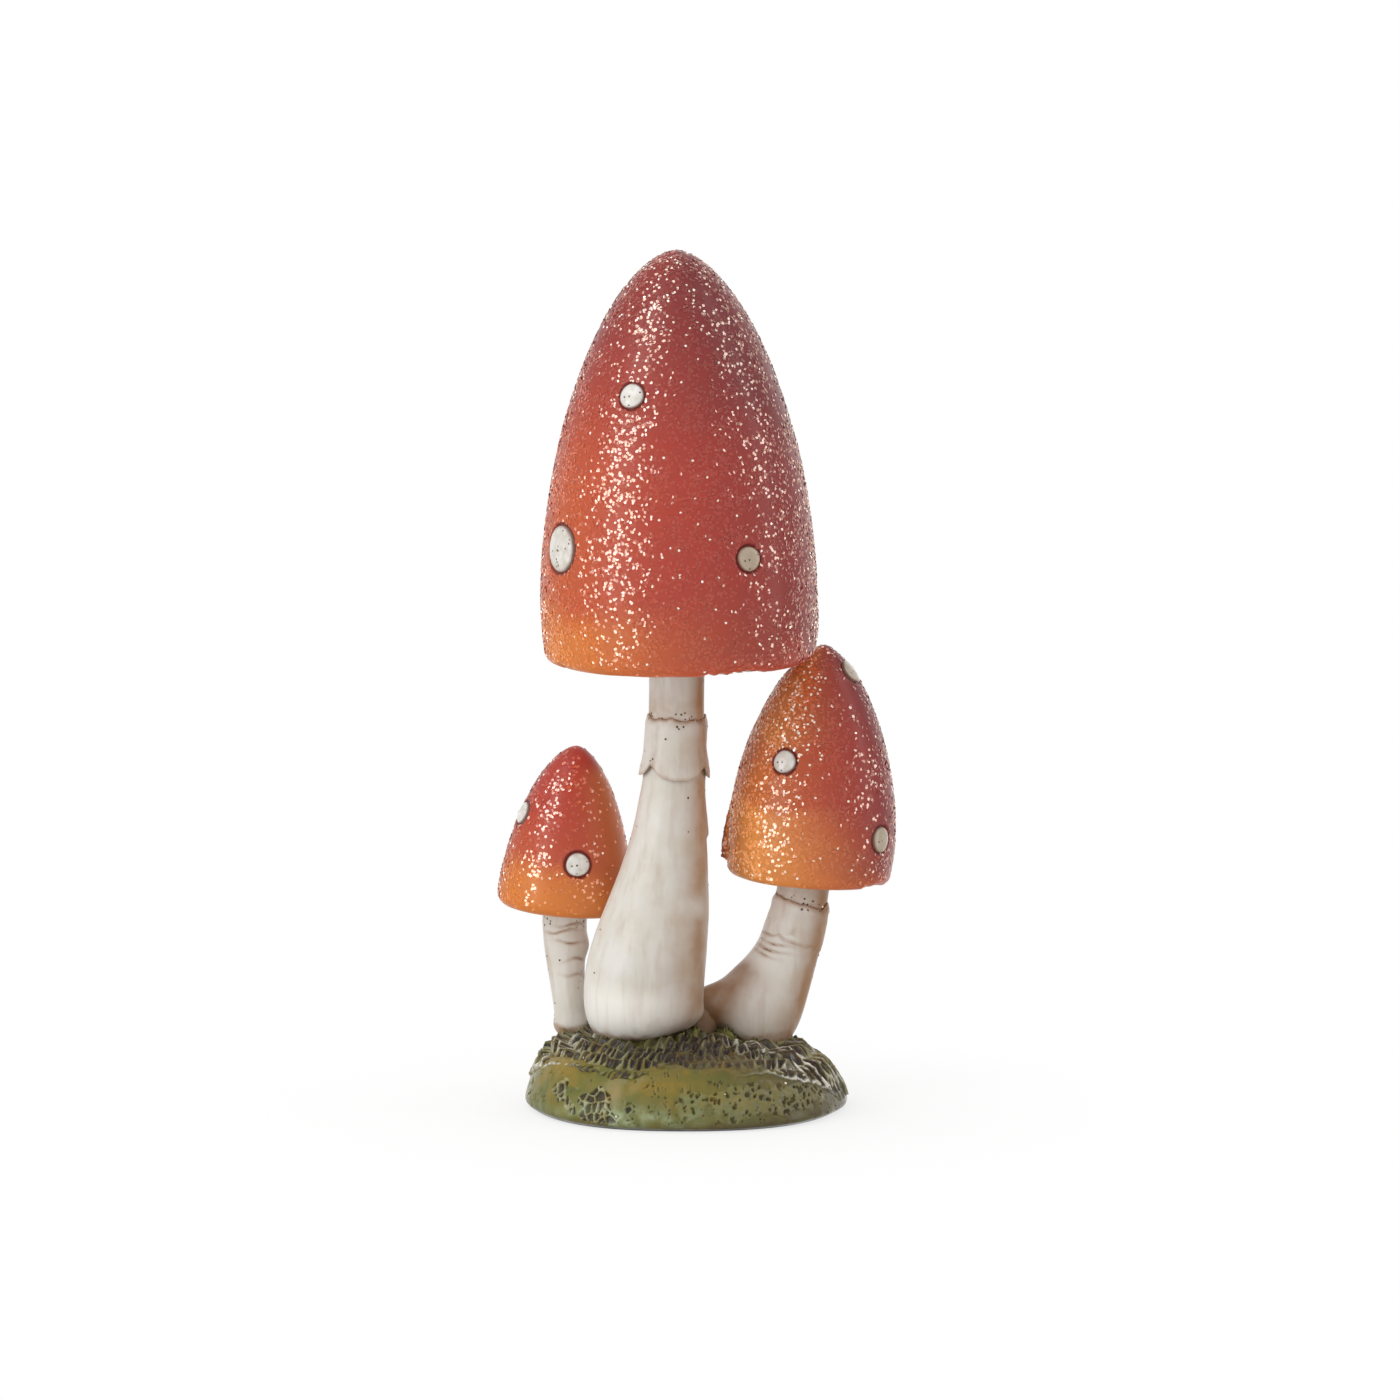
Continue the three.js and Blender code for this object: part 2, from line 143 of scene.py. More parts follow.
def clipped(numbers: Array) -> Array:
    """Keep shares between 0 and 1."""
    return np.clip(numbers, 0, 1)


def grain(points: Array, size: float | tuple[float, float, float], seed: float) -> Array:
    """Read smooth noise at points.

    Args:
        points: Places in mm, with x, y and z last.
        size: Width of the lumps in mm, one number or one for each axis.
        seed: Offset that picks another part of the noise.

    Returns:
        Values of about -1 to 1, one for each point.
    """
    places = (points / np.array(size) + seed).reshape(-1, 3).tolist()
    return np.array([noise.noise(p) for p in places]).reshape(points.shape[:-1])


def lumpy(points: Array, *layers: tuple[float, float | tuple[float, float, float], float]) -> Array:
    """Add up layers of noise, each given by its height, its size in mm and its seed."""
    return sum(height * grain(points, size, seed) for height, size, seed in layers)


def pits(points: Array, size: float, seed: float, wall: float = 0.0) -> Array:
    """Read how far points lie inside irregular cells.

    Args:
        points: Places in mm, with x, y and z last.
        size: Distance between cell centres in mm.
        seed: Offset that picks another part of the pattern.
        wall: Share of a cell's width taken by the wall to the next. 0 makes round pits.

    Returns:
        1 in a cell, falling to 0 at its edge.
    """
    places = (points / size + seed).reshape(-1, 3).tolist()
    near, far = np.array([noise.voronoi(p)[0][:2] for p in places]).T.reshape(2, *points.shape[:-1])
    return ease(far - near, wall, 2.2 * wall) if wall else clipped(1 - near / 0.5)


def even_steps(line: Array, step: float) -> Array:
    """Resample a line in even steps.

    Args:
        line: Points along the line.
        step: Wanted distance between points in mm.

    Returns:
        Points from the line's start to its end.
    """
    reach = lengths_along(line)
    stops = np.linspace(0, reach[-1], max(int(round(reach[-1] / step)), 2) + 1)
    return read_table(stops, reach, line)


def lengths_along(line: Array) -> Array:
    """Distance of each point of a line from its start."""
    return np.concatenate([[0], np.cumsum(np.linalg.norm(np.diff(line, axis=0), axis=1))])


def read_table(stops: Array, reach: Array, table: Array) -> Array:
    """Read every column of a table at stops between its own."""
    return np.stack([np.interp(stops, reach, column) for column in table.T], axis=-1)


def plane_normals(line: Array) -> Array:
    """Find the outward normals of an outline.

    Args:
        line: Rows of radius and height, bottom to top.

    Returns:
        A row of side and up for each row.
    """
    along = np.gradient(line, axis=0)
    across = np.stack([along[:, 1], -along[:, 0]], axis=-1)
    return across / np.maximum(np.linalg.norm(across, axis=1, keepdims=True), 1e-9)


def add_object(name: str, data: bpy.types.ID) -> Piece:
    """Put an object into the scene.

    Args:
        name: The object's name.
        data: Its mesh, lamp or camera.

    Returns:
        The object.
    """
    made = bpy.data.objects.new(name, data)
    bpy.context.scene.collection.objects.link(made)
    return made


def write(mesh: bpy.types.Mesh, key: str, numbers: Array, kind: str = "FLOAT") -> None:
    """Store one number, or one vector if the kind says so, for each corner."""
    part = "value" if kind == "FLOAT" else "vector"
    mesh.attributes.new(key, kind, "POINT").data.foreach_set(part, np.ravel(numbers).astype(np.float32))


def corners_of(piece: Piece) -> Array:
    """Read a piece's corners.

    Args:
        piece: A mesh object.

    Returns:
        A row for each corner, in mm.
    """
    places = np.zeros(3 * len(piece.data.vertices))
    piece.data.vertices.foreach_get("co", places)
    return places.reshape(-1, 3) / MM


def make_piece(name: str, points: Array, faces: list, values: dict[str, Array]) -> Piece:
    """Make a mesh object with smooth faces.

    Args:
        name: The piece's name.
        points: Corners in mm.
        faces: Corner numbers of each face.
        values: Attributes with one number for each corner.

    Returns:
        The object, at the origin.
    """
    mesh = bpy.data.meshes.new(name)
    mesh.from_pydata((points * MM).tolist(), [], faces)
    for key, numbers in values.items():
        write(mesh, key, numbers)
    mesh.shade_smooth()
    return add_object(name, mesh)


def skin_faces(rows: int, sides: int, loop: bool = False) -> list:
    """Number the faces of rows of points that run round an axis.

    Args:
        rows: Number of rows.
        sides: Number of points in a row.
        loop: Whether the last row joins the first. If not, a point closes each end.

    Returns:
        Corner numbers of each face. The closing points come after the rows.
    """
    index = np.arange(rows * sides).reshape(rows, sides)
    lower, upper = (index, np.roll(index, -1, axis=0)) if loop else (index[:-1], index[1:])
    around = [lower, np.roll(lower, -1, 1), np.roll(upper, -1, 1), upper]
    quads = np.stack(around, axis=-1).reshape(-1, 4).tolist()
    if loop:
        return quads
    start, end = rows * sides, rows * sides + 1
    quads += [(start, int(b), int(a)) for a, b in zip(index[0], np.roll(index[0], -1))]
    quads += [(int(a), int(b), end) for a, b in zip(index[-1], np.roll(index[-1], -1))]
    return quads


def closed_skin(name: str, rows: Array, values: dict[str, Array]) -> Piece:
    """Make a closed piece from rows of points round an axis.

    Args:
        name: The piece's name.
        rows: Points in mm, from the middle of the underside out and up to the top.
        values: Attributes with one number for each point of the rows.

    Returns:
        The object, closed by one point at each end.
    """
    count, sides = rows.shape[:2]
    points = np.concatenate([rows.reshape(-1, 3), rows[:1].mean(axis=1), rows[-1:].mean(axis=1)])
    full = {key: np.concatenate([v.ravel(), [v[0].mean(), v[-1].mean()]]) for key, v in values.items()}
    return make_piece(name, points, skin_faces(count, sides), full)


def settle(piece: Piece, slot: Slot, finish: Material, *nodes: str) -> None:
    """Dress a finished piece and tie it to the ornament.

    Args:
        piece: The finished object.
        slot: The record's finish that it takes. Not used.
        finish: Its material.
        nodes: The CAD nodes that it stands for.
    """
    piece.data.materials.clear()
    piece.data.materials.append(finish)
    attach(piece, BODY)
    if nodes:
        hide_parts(*nodes)
    log.info("%s: %d faces", piece.name, len(piece.data.polygons))


# Node trees


class Nodes:
    """Builds one node tree."""

    def __init__(self, tree: Tree) -> None:
        """Take a tree and empty it."""
        self.tree = tree
        tree.nodes.clear()

    @classmethod
    def group(cls, name: str, kinds: dict[str, str]) -> "Nodes":
        """Start a geometry node tree.

        Args:
            name: The tree's name.
            kinds: The kind of each input after the geometry, by its name.

        Returns:
            The builder of the tree.
        """
        tree = bpy.data.node_groups.new(name, "GeometryNodeTree")
        for key, kind in {"Geometry": "Geometry", **kinds}.items():
            tree.interface.new_socket(name=key, in_out="INPUT", socket_type=f"NodeSocket{kind}")
        tree.interface.new_socket(name="Geometry", in_out="OUTPUT", socket_type="NodeSocketGeometry")
        return cls(tree)

    def add(self, kind: str, links: dict | None = None, **settings: object) -> bpy.types.Node:
        """Add a node with its settings and links.

        Args:
            kind: The node's type.
            links: A source socket or a value for each input, by name or number.
            settings: The node's own properties.

        Returns:
            The new node.
        """
        node = self.tree.nodes.new(kind)
        for key, value in settings.items():
            setattr(node, key, value)
        for key, source in (links or {}).items():
            if isinstance(source, Socket):
                self.tree.links.new(source, node.inputs[key])
            else:
                node.inputs[key].default_value = source
        return node

    def calc(self, operation: str, *terms: Socket | float) -> Socket:
        """Reckon with numbers."""
        return self.add("ShaderNodeMath", dict(enumerate(terms)), operation=operation).outputs[0]

    def times(self, one: Socket, other: Socket | float) -> Socket:
        """Multiply two numbers."""
        return self.calc("MULTIPLY", one, other)

    def scaled(self, vector: Socket, share: Socket | float) -> Socket:
        """Make a vector or a colour longer by a share."""
        return self.add("ShaderNodeVectorMath", {0: vector, "Scale": share}, operation="SCALE").outputs[0]

    def spread(self, source: Socket, ends: tuple[float, float],
               to: tuple[float, float] = (0.0, 1.0)) -> Socket:
        """Map a number from one range to another, clamped."""
        return self.add("ShaderNodeMapRange", dict(enumerate((source, *ends, *to)))).outputs[0]

    def join(self, *parts: Socket | float) -> Socket:
        """Join three numbers into a vector."""
        return self.add("ShaderNodeCombineXYZ", dict(enumerate(parts))).outputs[0]

    def luck(self, low: Socket | float, high: Socket | float, seed: Socket) -> Socket:
        """Draw a random number for each copy."""
        inputs = {2: low, 3: high, "Seed": seed}
        return self.add("FunctionNodeRandomValue", inputs, data_type="FLOAT").outputs[1]

    def varied(self, given: bpy.types.NodeOutputs) -> Socket:
        """Draw a share round 1, as far off as the tree's variation allows."""
        less, more = (self.calc(way, 1.0, given["Variation"]) for way in ("SUBTRACT", "ADD"))
        return self.luck(less, more, given["Seed"])

    def stored(self, name: str, kind: str = "FLOAT") -> Socket:
        """Read a mesh attribute in a geometry tree."""
        return self.add("GeometryNodeInputNamedAttribute", {"Name": name}, data_type=kind).outputs[0]

    def end(self, copies: Socket, finish: Socket) -> Tree:
        """Make copies real, dress them and end a geometry tree.

        Args:
            copies: The copies.
            finish: Their material.

        Returns:
            The tree.
        """
        real = self.add("GeometryNodeRealizeInstances", {0: copies}).outputs[0]
        dressed = self.add("GeometryNodeSetMaterial", {0: real, "Material": finish}).outputs[0]
        self.add("NodeGroupOutput", {0: dressed})
        return self.tree

    def places(self) -> Socket:
        """Object coordinates in metres, the same in every view."""
        return self.add("ShaderNodeTexCoord").outputs["Object"]

    def value(self, name: str) -> Socket:
        """A number painted on the mesh."""
        return self.add("ShaderNodeAttribute", attribute_name=name).outputs["Fac"]

    def clouds(self, size: float, detail: float = 3.0) -> Socket:
        """Noise in lumps of a given size in mm, from 0 to 1."""
        links = {"Vector": self.places(), "Scale": 1 / (size * MM), "Detail": detail}
        return self.add("ShaderNodeTexNoise", links).outputs["Fac"]

    def blend(self, share: Socket, under: Socket | str, over: Socket | str) -> Socket:
        """Lay one colour over another by a share. A colour is a socket or a code."""
        under, over = (paint(c) if isinstance(c, str) else c for c in (under, over))
        return self.add("ShaderNodeMix", {0: share, 6: under, 7: over}, data_type="RGBA").outputs[2]

    def relief(self, height: Socket, depth: float, under: Socket | None = None) -> Socket:
        """Turn a height from 0 to 1 into a bumped normal.

        Args:
            height: The height.
            depth: Its depth in mm.
            under: A normal that is bumped already.

        Returns:
            The normal.
        """
        links = {"Height": height, "Distance": depth * MM, "Strength": 1.0}
        if under is not None:
            links["Normal"] = under
        return self.add("ShaderNodeBump", links).outputs["Normal"]

    def varnish(self, colour: Socket, rough: Socket, normal: Socket,
                ior: float, coat: float, haze: float) -> None:
        """End a material with paint under varnish.

        Args:
            colour: The paint.
            rough: Its roughness.
            normal: Its bumped normal.
            ior: Its index of refraction.
            coat: How much varnish lies on it.
            haze: The varnish's roughness.
        """
        shader = self.add("ShaderNodeBsdfPrincipled", {
            "Base Color": colour, "Roughness": rough, "Normal": normal, "IOR": ior,
            "Coat Weight": coat, "Coat Roughness": haze, "Coat IOR": 1.5})
        self.add("ShaderNodeOutputMaterial", {"Surface": shader.outputs[0]})


# Finishes


@dataclass(frozen=True)
class Finish:
    """A material whose nodes are made in the script."""

    name: str

    def start(self) -> tuple[Material, Nodes]:
        """Make the material with an empty node tree.

        Returns:
            The material and the builder of its nodes.
        """
        made = bpy.data.materials.new(self.name)
        made.use_nodes = True
        return made, Nodes(made.node_tree)


@dataclass(frozen=True)
class Spray:
    """The airbrushed colours of the caps, laid by three painted shares. Part of the maroon is painted shade
    and part of the lighter orange is painted light.
    """

    red: str = "#BC4436"
    orange: str = "#DF8238"
    amber: str = "#F0A050"
    maroon: str = "#85393A"

    def colour(self, nodes: Nodes) -> Socket:
        """Mix the colours for a finish.

        Args:
            nodes: The finish's nodes.

        Returns:
            The mixed colour.
        """
        warm = nodes.blend(nodes.value("glow"), self.red, self.orange)
        # lighter orange, partly painted light on sides that lie in shade
        warm = nodes.blend(nodes.value("amber"), warm, self.amber)
        # maroon, partly painted shade on the right side and along the far left edge
        return nodes.blend(nodes.value("dusk"), warm, self.maroon)


@dataclass(frozen=True)
class CapFinish(Finish):
    """Airbrushed acrylic on cast resin under a brushed satin varnish.

    The spray fades red into orange, the varnish gives a broad soft sheen, and its brush
    leaves a fine orange peel. A lighter orange is partly painted light on sides that lie in
    shade, and the maroon is partly painted shade.
    """

    name: str = "airbrushed_resin_red"
    spray: Spray = Spray()
    shade: str = "#8A3A36"
    groove: str = "#80302B"
    mottle_size: float = 4.0
    speck_size: float = 0.9
    peel_size: float = 0.7
    peel_depth: float = 0.018

    def build(self) -> Material:
        """Make the material.

        Returns:
            The finished material.
        """
        made, nodes = self.start()
        mottle = nodes.clouds(self.mottle_size)
        shaded = nodes.spread(mottle, (0.35, 0.75), (0.0, 0.12))
        colour = nodes.blend(shaded, self.spray.colour(nodes), self.shade)
        speck = nodes.spread(nodes.clouds(self.speck_size, 1.0), (0.72, 0.80), (0.0, 0.35))
        colour = nodes.blend(speck, colour, self.groove)
        colour = nodes.blend(nodes.value("ring"), colour, self.groove)
        rough = nodes.spread(mottle, (0.3, 0.7), (0.32, 0.44))
        peel = nodes.relief(nodes.clouds(self.peel_size, 2.0), self.peel_depth)
        nodes.varnish(colour, rough, peel, ior=1.45, coat=0.15, haze=0.25)
        return made


@dataclass(frozen=True)
class StemFinish(Finish):
    """Ivory acrylic on cast resin with a brown wash wiped off its high places.

    The wash stays in creases and in long streaks, and the satin varnish is only half glossy.
    A paler ivory is painted light on the sides of the stems that lie in shade, and the tan
    on their right sides is partly painted shade.
    """

    name: str = "antiqued_resin_ivory"
    ivory: str = "#E0DDD6"
    cream: str = "#D6CFC0"
    # painted light: the paler ivory laid where the stems lie in shade
    clean: str = "#F4F0E8"
    tan: str = "#A67D59"
    wash: str = "#A0703F"
    dark: str = "#76492A"
    streak_size: tuple[float, float, float] = (1.6, 1.6, 16.0)
    mottle_size: float = 6.0
    tool_size: float = 1.1
    tool_depth: float = 0.05

    def build(self) -> Material:
        """Make the material.

        Returns:
            The finished material.
        """
        made, nodes = self.start()
        mottle = nodes.clouds(self.mottle_size)
        spread = nodes.spread(mottle, (0.35, 0.7))
        colour = nodes.blend(spread, self.ivory, self.cream)
        # painted light: a paler ivory on the sides of the stems that lie in shade
        colour = nodes.blend(nodes.value("clean"), colour, self.clean)
        sizes = [1 / (size * MM) for size in self.streak_size]
        along = nodes.add("ShaderNodeMapping", {"Vector": nodes.places(), "Scale": sizes}).outputs[0]
        streaks = nodes.add("ShaderNodeTexNoise",
                            {"Vector": along, "Scale": 1.0, "Detail": 4.0}).outputs["Fac"]
        colour = nodes.blend(nodes.spread(streaks, (0.5, 0.75), (0.0, 0.22)), colour, self.wash)
        rubbed = nodes.spread(mottle, (0.3, 0.6), (0.7, 1.0))
        # tan stains, partly painted shade on the stems' right sides
        colour = nodes.blend(nodes.times(nodes.value("tan"), rubbed), colour, self.tan)
        wash = nodes.value("wash")
        broken = nodes.spread(nodes.clouds(self.tool_size), (0.3, 0.65), (0.55, 1.0))
        colour = nodes.blend(nodes.times(wash, broken), colour, self.wash)
        deep = nodes.spread(wash, (0.7, 1.0), (0.0, 0.85))
        colour = nodes.blend(nodes.times(deep, broken), colour, self.dark)
        tool = nodes.relief(nodes.clouds(self.tool_size, 4.0), self.tool_depth)
        tool = nodes.relief(streaks, self.tool_depth, tool)
        rough = nodes.spread(spread, (0.0, 1.0), (0.38, 0.5))
        nodes.varnish(colour, rough, tool, ior=1.5, coat=0.15, haze=0.2)
        return made


@dataclass(frozen=True)
class SpotFinish(Finish):
    """Off-white enamel in thick drops, which dries to a hard gloss with a grey bloom."""

    name: str = "enamel_off_white"
    white: str = "#F0EFEA"
    grey: str = "#D2CDC0"
    beige: str = "#B09A7E"
    edge: str = "#7A4A3C"
    bloom_size: float = 1.4
    ripple_size: float = 0.8
    ripple_depth: float = 0.03

    def build(self) -> Material:
        """Make the material.

        Returns:
            The finished material.
        """
        made, nodes = self.start()
        bloom = nodes.spread(nodes.clouds(self.bloom_size), (0.4, 0.7))
        colour = nodes.blend(bloom, self.white, self.grey)
        # beige: dirt, and partly painted shade on spots of the shaded right sides
        colour = nodes.blend(nodes.value("grime"), colour, self.beige)
        colour = nodes.blend(nodes.value("edge"), colour, self.edge)
        ripple = nodes.relief(nodes.clouds(self.ripple_size, 2.0), self.ripple_depth)
        rough = nodes.spread(bloom, (0.0, 1.0), (0.16, 0.3))
        nodes.varnish(colour, rough, ripple, ior=1.52, coat=0.6, haze=0.06)
        return made


@dataclass(frozen=True)
class MossFinish(Finish):
    """Olive, ochre and mint acrylic over a dark wash on tooled resin, under gloss varnish.

    The wash fills the hollows, dry brushing lights the ridges, and the varnish makes them glossy.
    Pale streaks on the ridges of the flanks, along the ledge and round the honeycomb are a
    painted highlight.
    """

    name: str = "varnished_resin_moss"
    olive: str = "#7F7636"
    green: str = "#6A7030"
    ochre: str = "#9C7F2C"
    mint: str = "#A9B48C"
    umber: str = "#63553A"
    fresh: str = "#A0A245"
    light: str = "#B0A572"
    # painted highlight: pale streaks on ridges of the flanks, the ledge and the honeycomb
    frost: str = "#E4E0D2"
    wash: str = "#3A302B"
    patch_size: float = 4.0
    dab_size: float = 1.3
    tool_size: float = 0.6
    tool_depth: float = 0.07

    def build(self) -> Material:
        """Make the material.

        Returns:
            The finished material.
        """
        made, nodes = self.start()
        patch = nodes.spread(nodes.clouds(self.patch_size), (0.38, 0.62))
        dab = nodes.clouds(self.dab_size)
        colour = nodes.blend(patch, self.olive, self.green)
        for key, code, ends in (("umber", self.umber, (0.25, 0.6)), ("ochre", self.ochre, (0.3, 0.55)),
                                ("mint", self.mint, (0.4, 0.65)), ("fresh", self.fresh, (0.25, 0.6))):
            share = nodes.times(nodes.value(key), nodes.spread(dab, ends, (0.4, 1.0)))
            colour = nodes.blend(share, colour, code)
        broken = nodes.spread(nodes.clouds(self.tool_size), (0.25, 0.6), (0.75, 1.0))
        dark = nodes.spread(nodes.value("groove"), (0.08, 0.5))
        colour = nodes.blend(nodes.times(dark, broken), colour, self.wash)
        brushed = nodes.spread(nodes.value("ridge"), (0.35, 1.0), (0.0, 0.6))
        crest = nodes.blend(nodes.spread(dab, (0.45, 0.55)), self.light, self.mint)
        colour = nodes.blend(nodes.times(brushed, broken), colour, crest)
        # painted highlight on the ridges of the flanks, the ledge and the honeycomb
        highlight_share = nodes.times(nodes.value("frost"), nodes.spread(dab, (0.35, 0.5), (0.2, 1.0)))
        colour = nodes.blend(highlight_share, colour, self.frost)
        tool = nodes.relief(nodes.clouds(self.tool_size, 3.0), self.tool_depth)
        rough = nodes.spread(patch, (0.0, 1.0), (0.34, 0.48))
        nodes.varnish(colour, rough, tool, ior=1.42, coat=0.5, haze=0.18)
        return made


@dataclass(frozen=True)
class GlitterFinish(Finish):
    """Thin aluminised film flakes, half sunk in varnish.

    A part of what they show is a pale mirror and the rest is the paint that they lie in. On
    the caps, flakes picked by chance show the pale film there too, as a painted highlight.
    """

    name: str = "aluminised_film_flakes"
    silver: str = "#FFFAF0"
    gold: str = "#F6E6CE"
    roughness: float = 0.17
    mirror: float = 0.5
    batch_size: float = 0.8
    spray: Spray | None = None
    under: str = "#86684C"

    def build(self) -> Material:
        """Make the material.

        Returns:
            The finished material.
        """
        made, nodes = self.start()
        batch = nodes.spread(nodes.clouds(self.batch_size, 1.0), (0.4, 0.6))
        film = nodes.blend(batch, self.silver, self.gold)
        mirror = nodes.add("ShaderNodeBsdfGlossy", {"Color": film, "Roughness": self.roughness}).outputs[0]
        below = paint(self.under)
        if self.spray:
            # painted highlight: flakes picked by chance show the pale film in their matt part too
            painted_glint_share = nodes.calc("LESS_THAN", nodes.value("chance"), nodes.value("glint"))
            below = nodes.scaled(nodes.blend(painted_glint_share, self.spray.colour(nodes), film), 1 / (1 - self.mirror))
        matt = nodes.add("ShaderNodeBsdfDiffuse", {"Color": below}).outputs[0]
        both = nodes.add("ShaderNodeMixShader", {0: self.mirror, 1: matt, 2: mirror}).outputs[0]
        nodes.add("ShaderNodeOutputMaterial", {"Surface": both})
        return made


# Patterns made with geometry nodes


@dataclass(frozen=True)
class Flakes:
    """Hexagonal glitter strewn over a piece by its painted amount."""

    size: float = 0.58
    thickness: float = 0.05
    tilt: float = 20.0
    calm: float = 0.4
    variation: float = 0.2
    per_square: float = 1.3
    seed: int = 4

    def tree(self) -> Tree:
        """Build the node tree with named inputs.

        Returns:
            The tree that strews flakes over a piece.
        """
        nodes = Nodes.group("strewn_flakes", {
            "Flake Size": "Float", "Thickness": "Float", "Tilt": "Float", "Variation": "Float",
            "Density": "Float", "Seed": "Int", "Finish": "Material"})
        given = nodes.add("NodeGroupInput").outputs
        seed, tilt = given["Seed"], given["Tilt"]
        density = nodes.times(nodes.stored("glitter"), given["Density"])
        strewn = nodes.add("GeometryNodeDistributePointsOnFaces",
                           {"Mesh": given["Geometry"], "Density": density, "Seed": seed},
                           distribute_method="RANDOM").outputs
        down = nodes.times(tilt, -1.0)
        ends = {0: nodes.join(down, down, -math.pi), 1: nodes.join(tilt, tilt, math.pi), "Seed": seed}
        lean = nodes.add("FunctionNodeRandomValue", ends, data_type="FLOAT_VECTOR").outputs[0]
        lean = nodes.scaled(lean, nodes.luck(self.calm, 1.0, nodes.calc("ADD", seed, 1.0)))
        lean = nodes.add("FunctionNodeEulerToRotation", {0: lean}).outputs[0]
        turned = nodes.add("FunctionNodeRotateRotation", {0: strewn["Rotation"], 1: lean},
                           rotation_space="LOCAL").outputs[0]
        width = nodes.times(nodes.varied(given), given["Flake Size"])
        cone = {"Vertices": 6, "Radius Top": 0.5, "Radius Bottom": 0.0, "Depth": 1.0}
        flake = nodes.add("GeometryNodeMeshCone", cone).outputs["Mesh"]
        sunk = nodes.add("GeometryNodeTransform", {"Geometry": flake, "Translation": (0, 0, -0.5)}).outputs[0]
        flat = nodes.add("GeometryNodeSetShadeSmooth", {"Geometry": sunk, "Shade Smooth": False}).outputs[0]
        links = {"Points": strewn["Points"], "Instance": flat, "Rotation": turned,
                 "Scale": nodes.join(width, width, given["Thickness"])}
        copies = nodes.add("GeometryNodeInstanceOnPoints", links).outputs[0]
        mark = {"Geometry": copies, "Name": "chance", "Value": nodes.luck(0.0, 1.0, seed)}
        marked = nodes.add("GeometryNodeStoreNamedAttribute", mark, data_type="FLOAT", domain="INSTANCE")
        return nodes.end(marked.outputs[0], given["Finish"])

    def values(self, finish: Material) -> dict:
        """Put the tree's inputs in Blender's units.

        Args:
            finish: The material of the flakes.

        Returns:
            The inputs by their names.
        """
        return {"Flake Size": self.size * MM, "Thickness": self.thickness * MM,
                "Tilt": math.radians(self.tilt),
                "Variation": self.variation, "Density": self.per_square / MM**2, "Seed": self.seed,
                "Finish": finish}


def copies_tree() -> Tree:
    """Build a node tree that sets one small shape on marked points, turned as they say.

    Returns:
        The tree.
    """
    nodes = Nodes.group("set_copies", {
        "Shape": "Object", "Size": "Vector", "Variation": "Float", "Seed": "Int", "Finish": "Material"})
    given = nodes.add("NodeGroupInput").outputs
    facing, upright = (nodes.stored(name, "FLOAT_VECTOR") for name in ("facing", "upright"))
    turned = nodes.add("FunctionNodeAxesToRotation", {0: upright, 1: facing},
                       primary_axis="Z", secondary_axis="X").outputs[0]
    shape = nodes.add("GeometryNodeObjectInfo", {"Object": given["Shape"]}).outputs["Geometry"]
    long = nodes.join(nodes.stored("stretch"), 1.0, 1.0)
    scale = nodes.add("ShaderNodeVectorMath", {0: given["Size"], 1: long}, operation="MULTIPLY").outputs[0]
    links = {"Points": given["Geometry"], "Instance": shape, "Rotation": turned,
             "Scale": nodes.scaled(scale, nodes.varied(given))}
    return nodes.end(nodes.add("GeometryNodeInstanceOnPoints", links).outputs[0], given["Finish"])


def grow(name: str, carrier: Piece, tree: Tree, values: dict) -> Piece:
    """Run a geometry node tree on a piece and keep the result as a plain mesh.

    Args:
        name: Name of the new piece.
        carrier: The mesh that the tree reads. It stays as it was.
        tree: The geometry node tree.
        values: Its inputs by name.

    Returns:
        The new object, at the origin and with no modifier.
    """
    step = carrier.modifiers.new("grow", "NODES")
    step.node_group = tree
    for item in tree.interface.items_tree:
        if item.in_out == "INPUT" and item.name in values:
            step[item.identifier] = values[item.name]
    bpy.context.view_layer.update()
    ready = carrier.evaluated_get(bpy.context.evaluated_depsgraph_get())
    mesh = bpy.data.meshes.new_from_object(ready)
    mesh.name = name
    carrier.modifiers.remove(step)
    return add_object(name, mesh)


def join(name: str, pieces: list[Piece]) -> Piece:
    """Put several plain meshes into one piece and remove them.

    Args:
        name: The new piece's name.
        pieces: The meshes.

    Returns:
        The new piece.
    """
    made = bmesh.new()
    for piece in pieces:
        made.from_mesh(piece.data)
    mesh = bpy.data.meshes.new(name)
    made.to_mesh(mesh)
    made.free()
    for piece in pieces:
        bpy.data.objects.remove(piece)
    return add_object(name, mesh)


def set_ridges(name: str, marks: dict[str, Array], size: tuple[float, float, float], steps: int,
               tree: Tree, values: dict) -> Piece:
    """Set copies of a long rounded ridge at marked places.

    Args:
        name: The new piece's name.
        marks: Places in mm, the directions facing and upright, and a stretch for each copy.
        size: A ridge's length, width and height in mm.
        steps: How finely it is made.
        tree: The tree that sets copies.
        values: The tree's other inputs.

    Returns:
        All ridges as one piece.
    """
    points = make_piece("ridge_marks", marks["places"], [], {"stretch": marks["stretch"]})
    for key in ("facing", "upright"):
        write(points.data, key, marks[key], "FLOAT_VECTOR")
    shape = ridge_shape("ridge_shape", steps)
    made = grow(name, points, tree, {"Shape": shape, "Size": tuple(side * MM for side in size), **values})
    bpy.data.objects.remove(points)
    bpy.data.objects.remove(shape)
    return made


